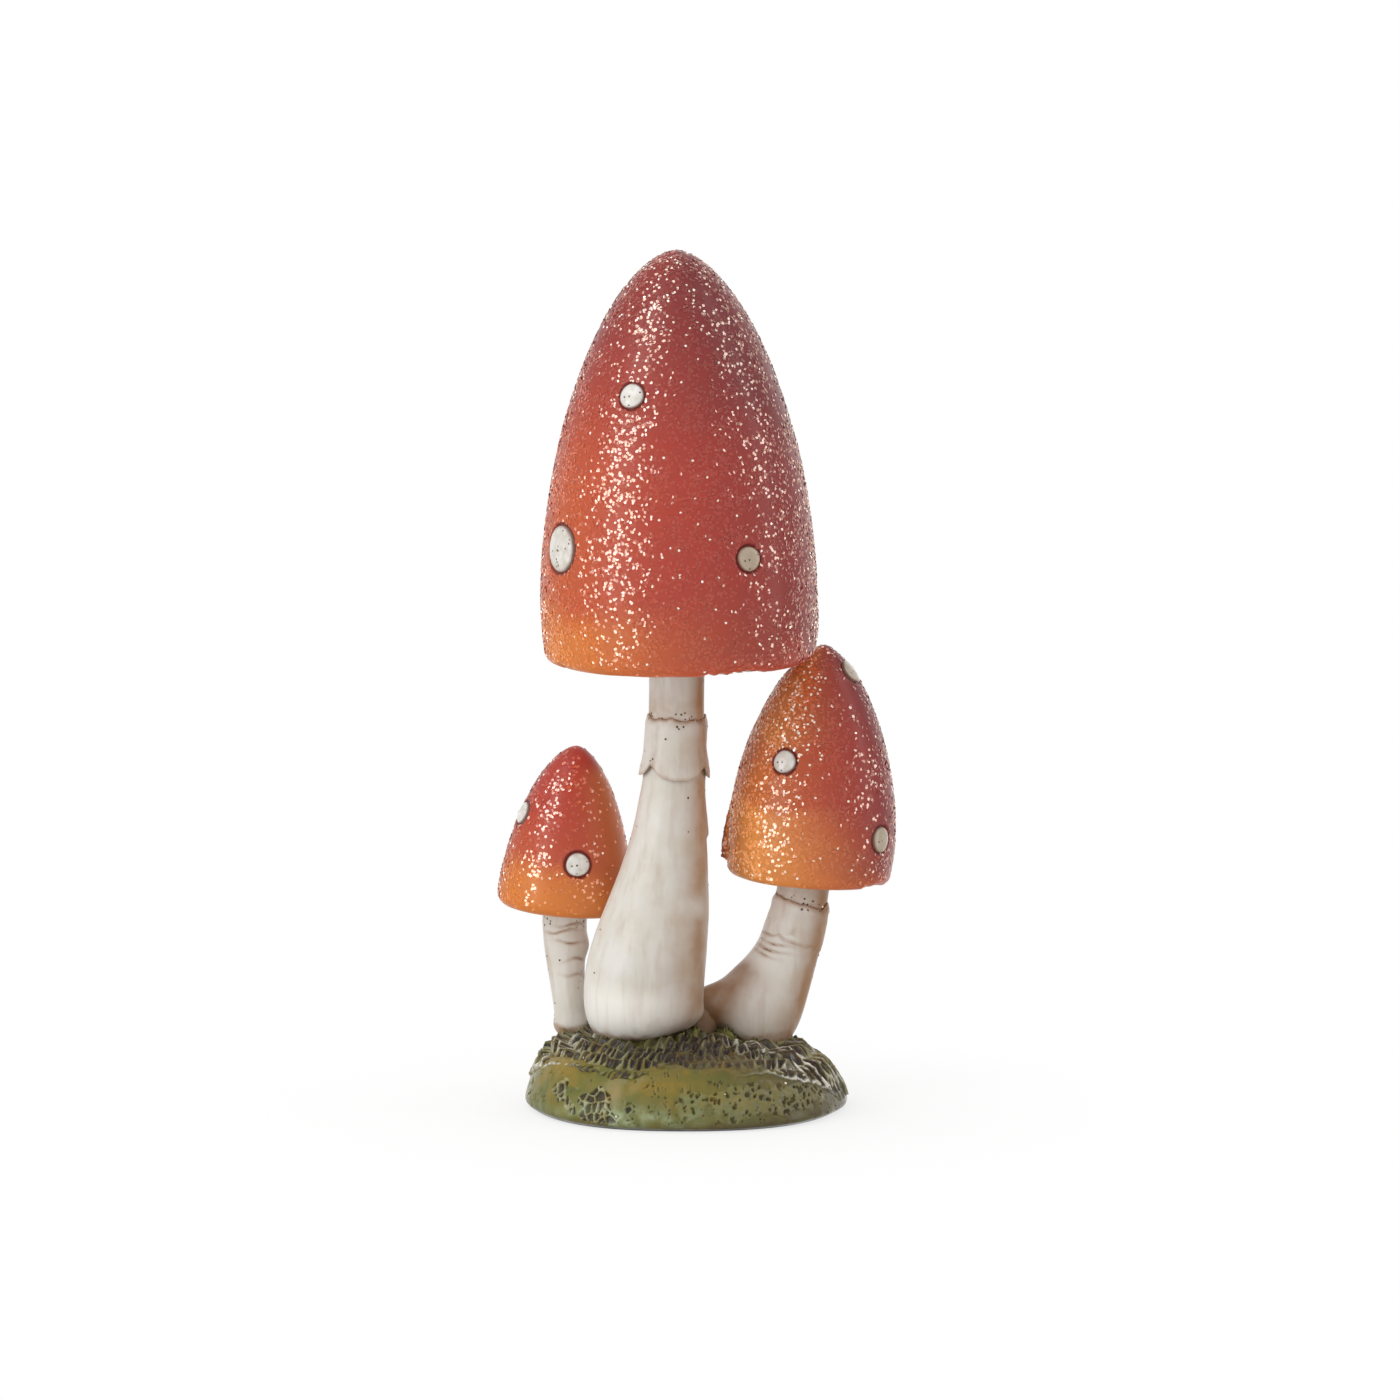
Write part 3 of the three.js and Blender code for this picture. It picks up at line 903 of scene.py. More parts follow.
def ridge_shape(name: str, steps: int) -> Piece:
    """Make a long rounded ridge one unit long, wide and high, with its crest marked.

    Args:
        name: The shape's name.
        steps: Number of steps along it.

    Returns:
        The shape, one metre long.
    """
    along = np.linspace(-0.5, 0.5, steps + 1)[1:-1]
    width = np.sqrt(1 - (2 * along) ** 2)
    turn = np.radians([0, 60, 90, 120, 180, 270])
    ring = np.stack([np.cos(turn) * 0.5, np.sin(turn)], axis=-1)
    rows = np.stack([np.repeat(along[:, None], len(turn), 1), width[:, None] * ring[:, 0],
                     width[:, None] ** 0.7 * ring[:, 1]], axis=-1)
    points = np.concatenate([rows.reshape(-1, 3), np.array([[-0.5, 0, 0], [0.5, 0, 0]])])
    crest = clipped(points[:, 2])
    values = {"groove": 0.85 * (1 - crest) ** 1.5}
    return make_piece(name, points / MM, skin_faces(steps - 1, len(turn)), values)


# Details that several parts share


@dataclass(frozen=True)
class Swell:
    """A soft rise, hollow or dab of paint. Level is a height in mm on its piece."""

    bearing: float
    level: float
    width: float
    span: float
    rise: float = 1.0

    def at(self, bearing: Array, level: Array) -> Array:
        """How far it lifts the skin in mm, or how strongly it covers it."""
        return self.rise * beside(bearing, self.bearing, self.width) * bell(level, self.level, self.span)


@dataclass(frozen=True)
class Flash:
    """A ragged fin of resin where the halves of the mould met."""

    bearing: float
    low: float
    high: float
    rise: float
    width: float = 2.2

    def at(self, bearing: Array, level: Array) -> Array:
        """Read how far it lifts the skin.

        Args:
            bearing: Bearings in degrees.
            level: Heights on the piece in mm.

        Returns:
            The lift in mm.
        """
        across = beside(bearing, self.bearing, self.width)
        ends = ease(level, self.low, self.low + 0.8) * ease(level, self.high, self.low + 1.5)
        line = np.stack([level, 0 * level, 0 * level], axis=-1)
        return self.rise * across * ends * (0.85 + 0.35 * grain(line, 2.1, self.high))


@dataclass(frozen=True)
class Crease:
    """A narrow fold that runs part of the way round a stem."""

    level: float
    bearing: float
    width: float
    depth: float
    slope: float = 0.0
    span: float = 0.3

    def at(self, bearing: Array, level: Array) -> Array:
        """Read how deep in the fold places lie.

        Args:
            bearing: Bearings in degrees.
            level: Heights on the stem in mm.

        Returns:
            Shares from 0 to 1.
        """
        off = off_bearing(bearing, self.bearing)
        wander = 0.25 * np.sin(np.radians(off * 4 + self.level * 40))
        return bell(level, self.level + self.slope * off / 90 + wander, self.span) * bell(off, 0, self.width)


@dataclass(frozen=True)
class Patch:
    """Paint sprayed or rubbed on one side of a piece, between two levels in mm. Some of it is painted light
    or shade.
    """

    bearing: float
    width: float
    low: float
    high: float
    share: float

    def at(self, bearing: Array, level: Array) -> Array:
        """How strongly it covers a place, from 0 to 1."""
        ends = ease(level, self.low - 3, self.low + 1) * ease(level, self.high + 3, self.high - 1)
        return self.share * beside(bearing, self.bearing, self.width) * ends


def total(details: list | tuple, bearing: Array, level: Array) -> Array:
    """Add up what several details do at places."""
    nothing = np.zeros(np.broadcast(bearing, level).shape)
    return sum((detail.at(bearing, level) for detail in details), nothing)


# Caps


@dataclass
class Spot:
    """One white spot. Level is a share of the cap's height."""

    bearing: float
    level: float
    diameter: float
    dome: float = 0.45
    # beige on the spot: dirt, and partly painted shade on the shaded right sides
    grime: float = 0.1


@dataclass(frozen=True)
class Fade:
    """How the airbrush laid orange and maroon over a cap's red, with painted shade in part of the maroon and
    painted light in part of the lighter orange. Heights are in mm over the rim.
    """

    side: float
    spread: float
    rim_spread: float
    rim_height: float
    rim_floor: float
    upper: float
    upper_height: float
    dusk_side: float
    dusk_spread: float
    dusk: float
    dusk_top: float
    top: float
    # painted shade along the far left edge
    far_side: float = -98
    far_spread: float = 28
    far_left_shade: float = 0.42
    amber: tuple[Patch, ...] = ()

    def shares(self, bearing: Array, height: Array, wander: Array) -> dict[str, Array]:
        """Read the shares of orange, amber and maroon.

        Args:
            bearing: Bearings in degrees.
            height: Heights over the rim in mm.
            wander: How far the fades stray there, in mm.

        Returns:
            The shares, from 0 to 1, by the names that the finish reads.
        """
        level = height + wander * ease(height, 0, 6)
        low = 1 - ease(level, 0.25 * self.rim_height, self.rim_height)
        spread = self.spread + (self.rim_spread - self.spread) * low
        side = beside(bearing, self.side, spread)
        rim = low * (self.rim_floor + (1 - self.rim_floor) * side)
        high = self.upper * side * (1 - ease(level, 0.3 * self.upper_height, self.upper_height))
        edge = (0.1 + 0.45 * side) * bell(height, 0, 1.2)
        # maroon on the right side, partly painted shade
        dusk = self.dusk * beside(bearing, self.dusk_side, self.dusk_spread) * ease(level, -2, 5)
        dusk = dusk + self.dusk_top * ease(level, 0.45 * self.top, self.top)
        # painted shade along the far left edge
        dusk = dusk + self.far_left_shade * beside(bearing, self.far_side, self.far_spread)
        glow = np.maximum(np.maximum(rim, high), edge)
        # lighter orange, partly painted light
        amber = total(self.amber, bearing, level)
        return {"glow": clipped(glow), "amber": clipped(amber), "dusk": clipped(dusk)}


@dataclass(frozen=True)
class Chip:
    """A worn place in a cap's rim."""

    bearing: float
    width: float
    depth: float
    rough: float = 0.0

    def lift(self, bearing: Array, rim: Array) -> Array:
        """How far it raises the rim's lower edge, in mm."""
        share = ease(np.abs(off_bearing(bearing, self.bearing)), self.width, self.width * 0.8)
        return share * (self.depth + self.rough * grain(rim, 1.4, 5))


@dataclass
class Cap:
    """A pointed bell cap, its spots and its gills."""

    name: str
    rim: tuple[float, float, float]
    radius: float
    height: float
    lean: float
    widest_height: float
    rim_tuck: float
    rim_rounding: float
    dish: float
    fullness: float
    taper: float
    seat_radius: float
    spots: list[Spot]
    fade: Fade
    glitter_amount: float = 2.2
    bare_side: float = 0.3
    back_share: float = 0.45
    # Where flakes are painted as highlights, and how many
    painted_glints: tuple[Patch, ...] = ()
    swells: list[Swell] = field(default_factory=list)
    flashes: list[Flash] = field(default_factory=list)
    chips: list[Chip] = field(default_factory=list)
    step: float = 0.5
    ring_width: float = 0.34
    ring_depth: float = 0.3
    unevenness: float = 0.12
    skin_inset: float = 0.12
    gills: int = 64
    gill_width: float = 0.42
    gill_height: float = 0.55
    spot_sides: int = 56

    def radius_at(self, height: Array) -> Array:
        """Read the outer radius before the rim is rounded.

        Args:
            height: Heights over the rim in mm.

        Returns:
            Radii in mm.
        """
        below = clipped((self.widest_height - height) / self.widest_height)
        rise = clipped((height - self.widest_height) / (self.height - self.widest_height))
        crown = self.radius * (1 - rise ** self.fullness) ** self.taper
        return np.where(height < self.widest_height, self.radius - self.rim_tuck * below ** 2, crown)

    def outline(self) -> Array:
        """Trace radius and height in even steps.

        Returns:
            Rows of radius and height, from the rim's lower edge to the tip.
        """
        corner = np.linspace(0, np.pi / 2, 16)
        low = self.rim_rounding * (1 - np.cos(corner))
        edge = np.stack([self.radius_at(low) - self.rim_rounding * (1 - np.sin(corner)), low], axis=-1)
        side = np.linspace(self.rim_rounding, self.widest_height, 60)[1:]
        rise = np.sin(np.linspace(0, np.pi / 2, 900))[1:]
        crown = self.widest_height + (self.height - self.widest_height) * rise
        heights = np.concatenate([side, crown])
        side = np.stack([self.radius_at(heights), heights], axis=-1)
        return even_steps(np.concatenate([edge, side]), self.step)

    def tilted(self, local: Array) -> Array:
        """Turn vectors to the cap's lean.

        Args:
            local: Vectors of an upright cap.

        Returns:
            The same vectors on the leaning one.
        """
        lean = math.radians(self.lean)
        x = local[..., 0] * math.cos(lean) + local[..., 2] * math.sin(lean)
        z = local[..., 2] * math.cos(lean) - local[..., 0] * math.sin(lean)
        return np.stack([x, local[..., 1], z], axis=-1)

    def place(self, local: Array) -> Array:
        """Turn points to the cap's lean and carry them to its rim."""
        return self.tilted(local) + np.array(self.rim)

    def spot_axis(self, spot: Spot) -> tuple[Array, Array]:
        """Find where a spot sits.

        Args:
            spot: The spot.

        Returns:
            Its centre on the cap's skin and the direction that it faces.
        """
        height = np.array(spot.level * self.height)
        slope = float((self.radius_at(height + 0.3) - self.radius_at(height - 0.3)) / 0.6)
        away = outward(np.array(spot.bearing))
        facing = away - UP * slope
        return away * self.radius_at(height) + UP * height, facing / np.linalg.norm(facing)

    def off_spots(self, local: Array) -> Array:
        """Measure how far points lie from the edge of the nearest spot.

        Args:
            local: Points of the upright cap.

        Returns:
            Distances in mm, below 0 inside a spot.
        """
        nearest = np.full(local.shape[:-1], FAR)
        for spot in self.spots:
            centre, facing = self.spot_axis(spot)
            away = local - centre
            along = away @ facing
            off = np.linalg.norm(away - along[..., None] * facing, axis=-1) - spot.diameter / 2
            nearest = np.minimum(nearest, np.where(along > -spot.diameter, off, FAR))
        return nearest

    def lift(self, local: Array, bearing: Array, height: Array) -> Array:
        """Read how far the skin stands off its plain outline.

        Args:
            local: Points of the upright cap.
            bearing: Their bearings in degrees.
            height: Their heights over the rim in mm.

        Returns:
            Lumps, fins and recesses together, in mm.
        """
        lumps = self.unevenness * lumpy(local, (1, 15, 3), (0.35, 5, 8)) - self.skin_inset
        lumps = lumps + total([*self.swells, *self.flashes], bearing, height)
        off = self.off_spots(local)
        recess = -self.ring_depth * (1 - ease(off, 0.12, self.ring_width + 0.15))
        lip = 0.07 * bell(off, self.ring_width + 0.45, 0.3)
        return lumps + recess + lip

    def shell(self) -> Piece:
        """Make the cap's skin, finer round its spots and fins.

        Returns:
            The skin in its place, with its painted numbers.
        """
        outline = self.outline()
        dish = np.array([[1.0, self.dish], [self.seat_radius, self.dish], [outline[0, 0], 0.0]])
        floor = even_steps(dish, 1.2)[:-1]
        line = np.concatenate([floor, outline])
        across = np.concatenate([np.zeros((len(floor), 2)), plane_normals(outline)])
        sides = int(2 * np.pi * self.radius / self.step)
        away = outward(np.arange(sides) * 360 / sides)
        track = np.repeat(np.arange(len(line)), sides).reshape(len(line), sides)
        rows = lathed(away, line[:, None, 0], line[:, None, 1])
        piece = closed_skin(f"{self.name}_cap_shell", rows, {"track": track})
        made = bmesh.new()
        made.from_mesh(piece.data)
        for reach in (1.5, 1.0):
            points = np.array([v.co for v in made.verts]) / MM
            near = self.off_spots(points) < reach
            for flash in self.flashes:
                off = abs(off_bearing(bearing_of(points), flash.bearing))
                near |= (off < 3 * flash.width) & (points[:, 2] < flash.high + 2)
            edges = [e for e in made.edges if near[e.verts[0].index] and near[e.verts[1].index]]
            bmesh.ops.subdivide_edges(made, edges=edges, cuts=1, use_grid_fill=True)
            made.verts.index_update()
        made.to_mesh(piece.data)
        made.free()
        self.shape(piece, line, across)
        return piece

    def shape(self, piece: Piece, line: Array, across: Array) -> None:
        """Move the refined skin onto its true form and paint its numbers on it.

        Args:
            piece: The cap's mesh, which still has flat faces between its first rows.
            line: The first rows' radius and height.
            across: The first rows' outward direction in the same plane.
        """
        mesh = piece.data
        points = corners_of(piece)
        track = np.zeros(len(points), np.float32)
        mesh.attributes["track"].data.foreach_get("value", track)
        steps = np.arange(len(line))
        radius, height = read_table(track, steps, line).T
        side, up = read_table(track, steps, across).T
        bearing = bearing_of(points)
        away = outward(bearing)
        radius[-2:] = 0
        local = lathed(away, radius, height)
        moved = local + lathed(away, side, up) * self.lift(local, bearing, height)[:, None]
        edge = bell(height, 0, 1.3) * ease(radius, self.seat_radius, self.radius - 3)
        rim = away * self.radius
        wear = 0.1 * grain(rim, 5, 5) + sum(chip.lift(bearing, rim) for chip in self.chips)
        moved[:, 2] += edge * np.maximum(wear, 0)
        mesh.vertices.foreach_set("co", (self.place(moved) * MM).ravel())
        for key, numbers in self.painted(local, bearing, height, radius).items():
            write(mesh, key, numbers)
        mesh.attributes.remove(mesh.attributes["track"])
        mesh.update()

    def painted(self, local: Array, bearing: Array, height: Array, radius: Array) -> dict[str, Array]:
        """Read the numbers for the airbrush fades with their painted light and shade, the dark rings, the
        glitter and its painted highlights.

        Args:
            local: Points of the upright cap.
            bearing: Their bearings in degrees.
            height: Their heights over the rim in mm.
            radius: Their distances from its axis in mm.

        Returns:
            The numbers by the names that the finishes read.
        """
        values = self.fade.shares(bearing, height, 4 * grain(local, 11, 21))
        for flash in self.flashes:
            values["dusk"] = np.maximum(values["dusk"], 0.8 * ease(flash.at(bearing, height), 0.1, 0.5))
        off = self.off_spots(local)
        values["ring"] = 0.85 * (1 - ease(off, self.ring_width, self.ring_width + 0.35))
        inner = self.radius - self.rim_rounding
        outside = ease(off, self.ring_width, self.ring_width + 0.2)
        low = ease(height, 0.4, 1.6) * ease(radius, inner - 0.6, inner + 0.8)
        outside = outside * np.where(height < 3, low, 1)
        clumps = 0.85 + lumpy(local, (0.9, 6, 30), (0.7, 1.8, 32))
        side = 1 + 0.4 * beside(bearing, -28, 20) - self.bare_side * beside(bearing, 55, 42)
        side = side * (1 - self.back_share * ease(np.abs(off_bearing(bearing, 0)), 95, 125))
        amount = self.glitter_amount * np.maximum(clumps, 0.15) * side * outside
        # painted highlights on a few flakes everywhere, and more where the patches lie
        values["glint"] = 0.025 + total(self.painted_glints, bearing, height)
        values["glitter"] = np.clip(amount, 0, 3) * (radius > 0.5)
        return values

    def drop_spot(self, spot: Spot, number: int) -> Piece:
        """Make one spot as a drop of enamel that follows the cap's skin.

        Args:
            spot: The spot.
            number: Its number on the cap.

        Returns:
            The drop in its place.
        """
        centre, facing = self.spot_axis(spot)
        right = np.cross(UP, facing)
        right /= np.linalg.norm(right)
        up = np.cross(facing, right)
        outline = self.outline()
        normals = plane_normals(outline)
        turn = np.radians(np.arange(self.spot_sides) * 360 / self.spot_sides)
        wobble = 1 + 0.025 * np.sin(2 * turn + number) + 0.02 * np.sin(3 * turn + 2.3 * number)
        dome = np.linspace(0.985, 0.08, 13)
        shares = np.concatenate([np.linspace(0.3, 1, 4), [1.0], dome])
        depth = np.concatenate([np.full(4, -1.2), [-0.6], spot.dome * (1 - dome ** 2.6) ** 0.5 - 0.05])
        reach = shares[:, None] * wobble * spot.diameter / 2
        flat = centre + reach[..., None] * (np.cos(turn)[:, None] * right + np.sin(turn)[:, None] * up)
        radial = np.linalg.norm(flat[..., :2], axis=-1)
        gap = (radial[..., None] - outline[:, 0]) ** 2 + (flat[..., 2:3] - outline[:, 1]) ** 2
        nearest = gap.argmin(axis=-1)
        away = outward(bearing_of(flat))
        foot = lathed(away, outline[nearest, 0], outline[nearest, 1])
        normal = lathed(away, normals[nearest, 0], normals[nearest, 1])
        rough = 0.03 * grain(flat, 1.2, 40 + number)
        rows = foot + (flat - foot) - ((flat - foot) * normal).sum(-1, keepdims=True) * normal
        rows = rows + normal * (depth[:, None] + rough * (depth[:, None] > 0))[..., None]
        ones = np.ones(self.spot_sides)
        values = {"edge": 0.8 * ease(shares, 0.84, 1.0)[:, None] * ones,
                  "glitter": 0.3 * (depth > 0.1)[:, None] * ones,
                  "grime": spot.grime * np.ones_like(depth)[:, None] * ones}
        return closed_skin(f"{self.name}_cap_spot_{number}_enamel", self.place(rows), values)

    def gill_fan(self, copies: Tree, finish: Material) -> Piece:
        """Set thin gills round the dished underside.

        Args:
            copies: The tree that sets copies.
            finish: The gills' material.

        Returns:
            All gills as one piece.
        """
        inner, outer = self.seat_radius - 0.6, self.radius - self.rim_rounding - 2.4
        away = outward(np.arange(self.gills) * 360 / self.gills)
        middle = (inner + outer) / 2
        slope = self.dish / (self.radius - self.rim_rounding - self.seat_radius)
        height = self.dish - slope * (middle - self.seat_radius)
        along, down = math.cos(math.atan(slope)), math.sin(math.atan(slope))
        marks = {"places": self.place(away * middle + UP * height),
                 "facing": self.tilted(away * along - UP * down),
                 "upright": self.tilted(-(away * down + UP * along)), "stretch": np.ones(self.gills)}
        size = (outer - inner, self.gill_width, self.gill_height)
        return set_ridges(f"{self.name}_cap_gills", marks, size, 10,
                          copies, {"Variation": 0.0, "Seed": 1, "Finish": finish})


# Stems


@dataclass
class Collar:
    """A torn skirt round a stem. Notches are the bearings where its lower lobes meet."""

    drop: float
    height: float
    wall: float
    flare: float
    notches: tuple[float, ...]
    notch_rise: float
    tear: float
    tear_seed: float
    fall: float = 0.0
    proud: float = 0.2
    low_line: float = 0.6
    tuck: float = 0.0
    folds: tuple[float, ...] = ()
    peaks: tuple[Swell, ...] = ()
    ring: float = 4.2
    sides: int = 240
    down_steps: int = 44

    def top_edge(self, bearing: Array, length: float) -> Array:
        """Read the level of the torn upper edge.

        Args:
            bearing: Bearings in degrees.
            length: The stem's length in mm.

        Returns:
            Levels on the stem in mm.
        """
        torn = lumpy(outward(bearing) * self.ring, (1, 2.2, self.tear_seed), (0.5, 0.9, self.tear_seed + 5))
        tilt = self.fall * np.sin(np.radians(bearing)) + total(self.peaks, bearing, np.zeros_like(bearing))
        return length - self.drop + self.tear * torn + tilt

    def lobe(self, bearing: Array) -> Array:
        """Read how far bearings lie inside their lobes.

        Args:
            bearing: Bearings in degrees.

        Returns:
            0 at a notch and 1 in the middle of a lobe.
        """
        ends = np.sort(np.array(self.notches) % 360)
        ends = np.concatenate([ends, [ends[0] + 360]])
        turned = (bearing - ends[0]) % 360 + ends[0]
        slot = np.clip(np.searchsorted(ends, turned, side="right") - 1, 0, len(ends) - 2)
        share = (turned - ends[slot]) / (ends[slot + 1] - ends[slot])
        return 1 - np.abs(2 * share - 1) ** 3

    def low_edge(self, bearing: Array, length: float) -> Array:
        """Level of the lobed lower edge on a stem of this length."""
        wobble = 0.15 * grain(outward(bearing) * self.ring, 1.3, self.tear_seed + 9)
        return length - self.drop - self.height + self.notch_rise * (1 - self.lobe(bearing)) + wobble


@dataclass
class Stem:
    """A stem on its bent axis, from the bulb in the moss to the cap's underside."""

    name: str
    foot: tuple[float, float, float]
    rim: tuple[float, float, float]
    lean: float
    dish: float
    neck_radius: float
    neck_offset: float
    neck_reach: float
    waist_radius: float
    bulb_radius: float
    bulb_drop: float
    bulb_sink: float
    foot_lean: float
    foot_reach: float
    peg_radius: float
    tan_and_shade: list[Patch]
    collar: Collar | None = None
    swells: list[Swell] = field(default_factory=list)
    flashes: list[Flash] = field(default_factory=list)
    creases: list[Crease] = field(default_factory=list)
    foot_wash: float = 1.0
    # painted light where the stem lies in shade; by default the front of its foot
    clean: Patch = Patch(-10, 80, -2, 7, 0.9)
    streak: float = 0.09
    step: float = 0.36
    sides: int = 176
    glitter_top: float = 6.0
    stray: float = 0.006

    def __post_init__(self) -> None:
        """Trace the bent axis once."""
        axis, side = self.direction(self.lean), self.direction(self.lean + 90)
        foot = np.array(self.foot)
        top = np.array(self.rim) + side * self.neck_offset + axis * (self.dish - CLEARANCE)
        knots = [foot, foot + self.direction(self.foot_lean) * self.foot_reach,
                 top - axis * self.neck_reach, top]
        t = np.linspace(0, 1, 600)[:, None]
        self.line = (knots[0] * (1 - t) ** 3 + knots[1] * 3 * t * (1 - t) ** 2
                     + knots[2] * 3 * t * t * (1 - t) + knots[3] * t ** 3)
        self.reach = lengths_along(self.line)
        self.length = float(self.reach[-1])
        self.bulb = self.bulb_drop - self.bulb_sink
        self.waist = self.length - (self.collar.drop + self.collar.height + CLEARANCE if self.collar else 0)

    @staticmethod
    def direction(degrees: float) -> Array:
        """A direction that leans from straight up towards +X."""
        lean = math.radians(degrees)
        return np.array([math.sin(lean), 0.0, math.cos(lean)])

    def bend(self, local: Array) -> Array:
        """Carry points that stand straight on Z over to the bent axis.

        Args:
            local: The points.

        Returns:
            Their places on the bent stem.
        """
        level = local[..., 2]
        along = np.clip(level, 0, self.length)
        centre = read_table(along, self.reach, self.line)
        tangent = read_table(along, self.reach, unit(np.gradient(self.line, axis=0)))
        across = unit(np.cross([0, 1.0, 0], tangent))
        back = np.cross(tangent, across)
        middle = centre + tangent * (level - along)[..., None]
        return middle + across * local[..., :1] + back * local[..., 1:2]

    def radius_at(self, level: Array) -> Array:
        """Read the radius of the plain stem between the bulb and the cap.

        Args:
            level: Levels on the stem in mm.

        Returns:
            Radii in mm.
        """
        share = ease(level, self.bulb, self.waist)
        taper = self.bulb_radius + (self.waist_radius - self.bulb_radius) * share
        if self.collar is None:
            return taper
        proud = self.collar.proud
        slim = taper - proud * ease(level, self.waist - 5, self.waist)
        gain = ease(level, self.waist + 6, self.waist)
        neck = self.neck_radius - (self.neck_radius - self.waist_radius + proud) * gain
        return np.where(level < self.waist, slim, neck)

    def outline(self) -> Array:
        """Trace radius and level in even steps.

        Returns:
            Rows of radius and level, from under the bulb to inside the cap.
        """
        power = 2 / 3
        start = math.asin((self.peg_radius / self.bulb_radius) ** (1 / power))
        angle = np.linspace(start, np.pi / 2, 40)
        under = np.stack([self.bulb_radius * np.sin(angle) ** power,
                          self.bulb - self.bulb_drop * clipped(np.cos(angle)) ** power], axis=-1)
        level = np.linspace(self.bulb, self.length + 1.2, 800)[1:]
        upper = np.stack([self.radius_at(level), level], axis=-1)
        return even_steps(np.concatenate([under, upper]), self.step)

    def skin(self) -> Piece:
        """Make the stem with its streaks, creases, tan and painted light and shade.

        Returns:
            The stem in its place.
        """
        line = self.outline()
        turn, level = np.meshgrid(np.arange(self.sides) * 360 / self.sides, line[:, 1])
        away = outward(turn)
        straight = lathed(away, line[:, :1], level)
        streaks = lumpy(straight, (1, (2.6, 2.6, 20), 2), (0.5, (1.2, 1.2, 9), 4))
        lift = self.streak * streaks + 0.12 * grain(straight, 7, 6)
        folds = sum((crease.depth * crease.at(turn, level) for crease in self.creases), np.zeros_like(level))
        lift = lift + total([*self.swells, *self.flashes], turn, level)
        lift = (lift - folds) * ease(level, self.length, self.length - 1.5)
        normals = plane_normals(line)
        facing = lathed(away, normals[:, :1], normals[:, 1:])
        rows = self.bend(straight + facing * lift[..., None])
        return closed_skin(f"{self.name}_stem_skin", rows,
                           self.painted(straight, turn, level, lift, rows[..., 2] - self.foot[2]))

    def painted(self, straight: Array, turn: Array, level: Array,
                lift: Array, over_moss: Array) -> dict[str, Array]:
        """Read the numbers for the brown wash, the tan, the painted light and shade and the few stray flakes.

        Args:
            straight: Points of the stem before it is bent.
            turn: Their bearings in degrees.
            level: Their levels on the stem in mm.
            lift: How far they stand off the plain stem in mm.
            over_moss: Their heights over the foot in mm.

        Returns:
            The numbers by the names that the finishes read.
        """
        edge = self.foot_wash + 0.6 - beside(turn, 0, 60)
        foot = ease(over_moss, edge + 0.9 * grain(straight, 1.4, 11), edge - 1.0)
        shares = [0.22 * foot + 0.45 * foot * ease(grain(straight, 0.7, 12), 0.1, 0.3),
                  0.55 * ease(level, self.length - 1.6, self.length)]
        shares += [0.8 * crease.at(turn, level) * min(crease.depth * 5, 1) for crease in self.creases]
        shares += [0.7 * clipped(flash.at(turn, level) / flash.rise) for flash in self.flashes]
        flakes = 0.3 * ease(level, self.length - self.glitter_top, self.length - 1) + self.stray
        flakes = flakes + 0.05 * beside(turn, 95, 25) * (level > 0.4 * self.length)
        if self.collar:
            over = level - self.collar.top_edge(turn, self.length)
            under = self.collar.low_edge(turn, self.length) - level
            # wash along the collar's top edge, a band under its lower edge that is wash and partly painted
            # shadow, and wash on the neck above
            shares += [np.where(over > -0.4, bell(over, 0.0, 0.5), 0),
                       np.where(under > -0.5, 0.65 * bell(under, 0.0, 0.4), 0), 0.35 * bell(over, 2.2, 2.4)]
            flakes = flakes + 0.45 * bell(level, self.length - self.collar.drop + 0.6, 0.8)
        hollow = 1.6 * np.clip(-lift - 0.05, 0, 0.3)
        return {"wash": clipped(np.max(shares, axis=0) + hollow),
                "tan": np.maximum(self.tan(straight, turn, level), 0.6 * foot),
                "clean": clipped(self.clean.at(turn, level)), "glitter": flakes * (level > self.bulb)}

    def tan(self, straight: Array, turn: Array, level: Array) -> Array:
        """The tan patches together, partly painted shade, broken up a little."""
        return clipped(total(self.tan_and_shade, turn, level) * (0.9 + 0.35 * grain(straight, (4, 4, 10), 13)))

    def skirt(self) -> Piece:
        """Make the collar as a thin torn ring with lobes below.

        Returns:
            The collar in its place on the stem.
        """
        collar = self.collar
        bearing = np.arange(collar.sides) * 360 / collar.sides
        top, low = collar.top_edge(bearing, self.length), collar.low_edge(bearing, self.length)
        half = collar.wall / 2
        arc = np.linspace(0, np.pi, 7)[1:-1]
        down = np.linspace(1, 0, collar.down_steps)
        shares = np.concatenate([down, 0 * arc, down[::-1], 0 * arc + 1])[:, None]
        swing = np.concatenate([0 * down, arc, 0 * down + np.pi, np.pi + arc])[:, None]
        level = top + (low - top) * shares
        plain = np.maximum(self.radius_at(level) + 0.1, self.neck_radius + 0.05) + half
        plain = plain - collar.tuck * ease(shares, 0.35, 1)
        petal = shares ** 3 * collar.flare * (0.55 + 0.9 * (1 - collar.lobe(bearing)))
        lip = -0.28 * bell(shares, 0, 0.06)
        ring = outward(bearing)
        spot = ring * 5 + UP * level[..., None]
        lumps = lumpy(spot, (0.12, (2.4, 2.4, 3.5), 17), (0.05, 1.1, 19))
        fold = sum((0.2 * beside(bearing, centre, 5) * shares for centre in collar.folds), 0 * level)
        thick = half * (1 - 0.35 * bell(shares, 1, 0.1))
        radius = plain + petal + lip + lumps - fold + thick * np.cos(swing)
        level = level + thick * np.sin(swing)
        edge = np.maximum(bell(shares, 0, 0.03), collar.low_line * bell(shares, 1, 0.035))
        inner = ease(np.abs(swing - np.pi), 1.2, 0.3)
        wash = clipped(np.maximum(edge * 0.7, inner) + clipped(-lumps) * 1.6 + fold * 2)
        flakes = 0.04 + 0.5 * bell(shares, 0, 0.05) + 0.12 * beside(bearing, 95, 25)
        turn = bearing * np.ones_like(level)
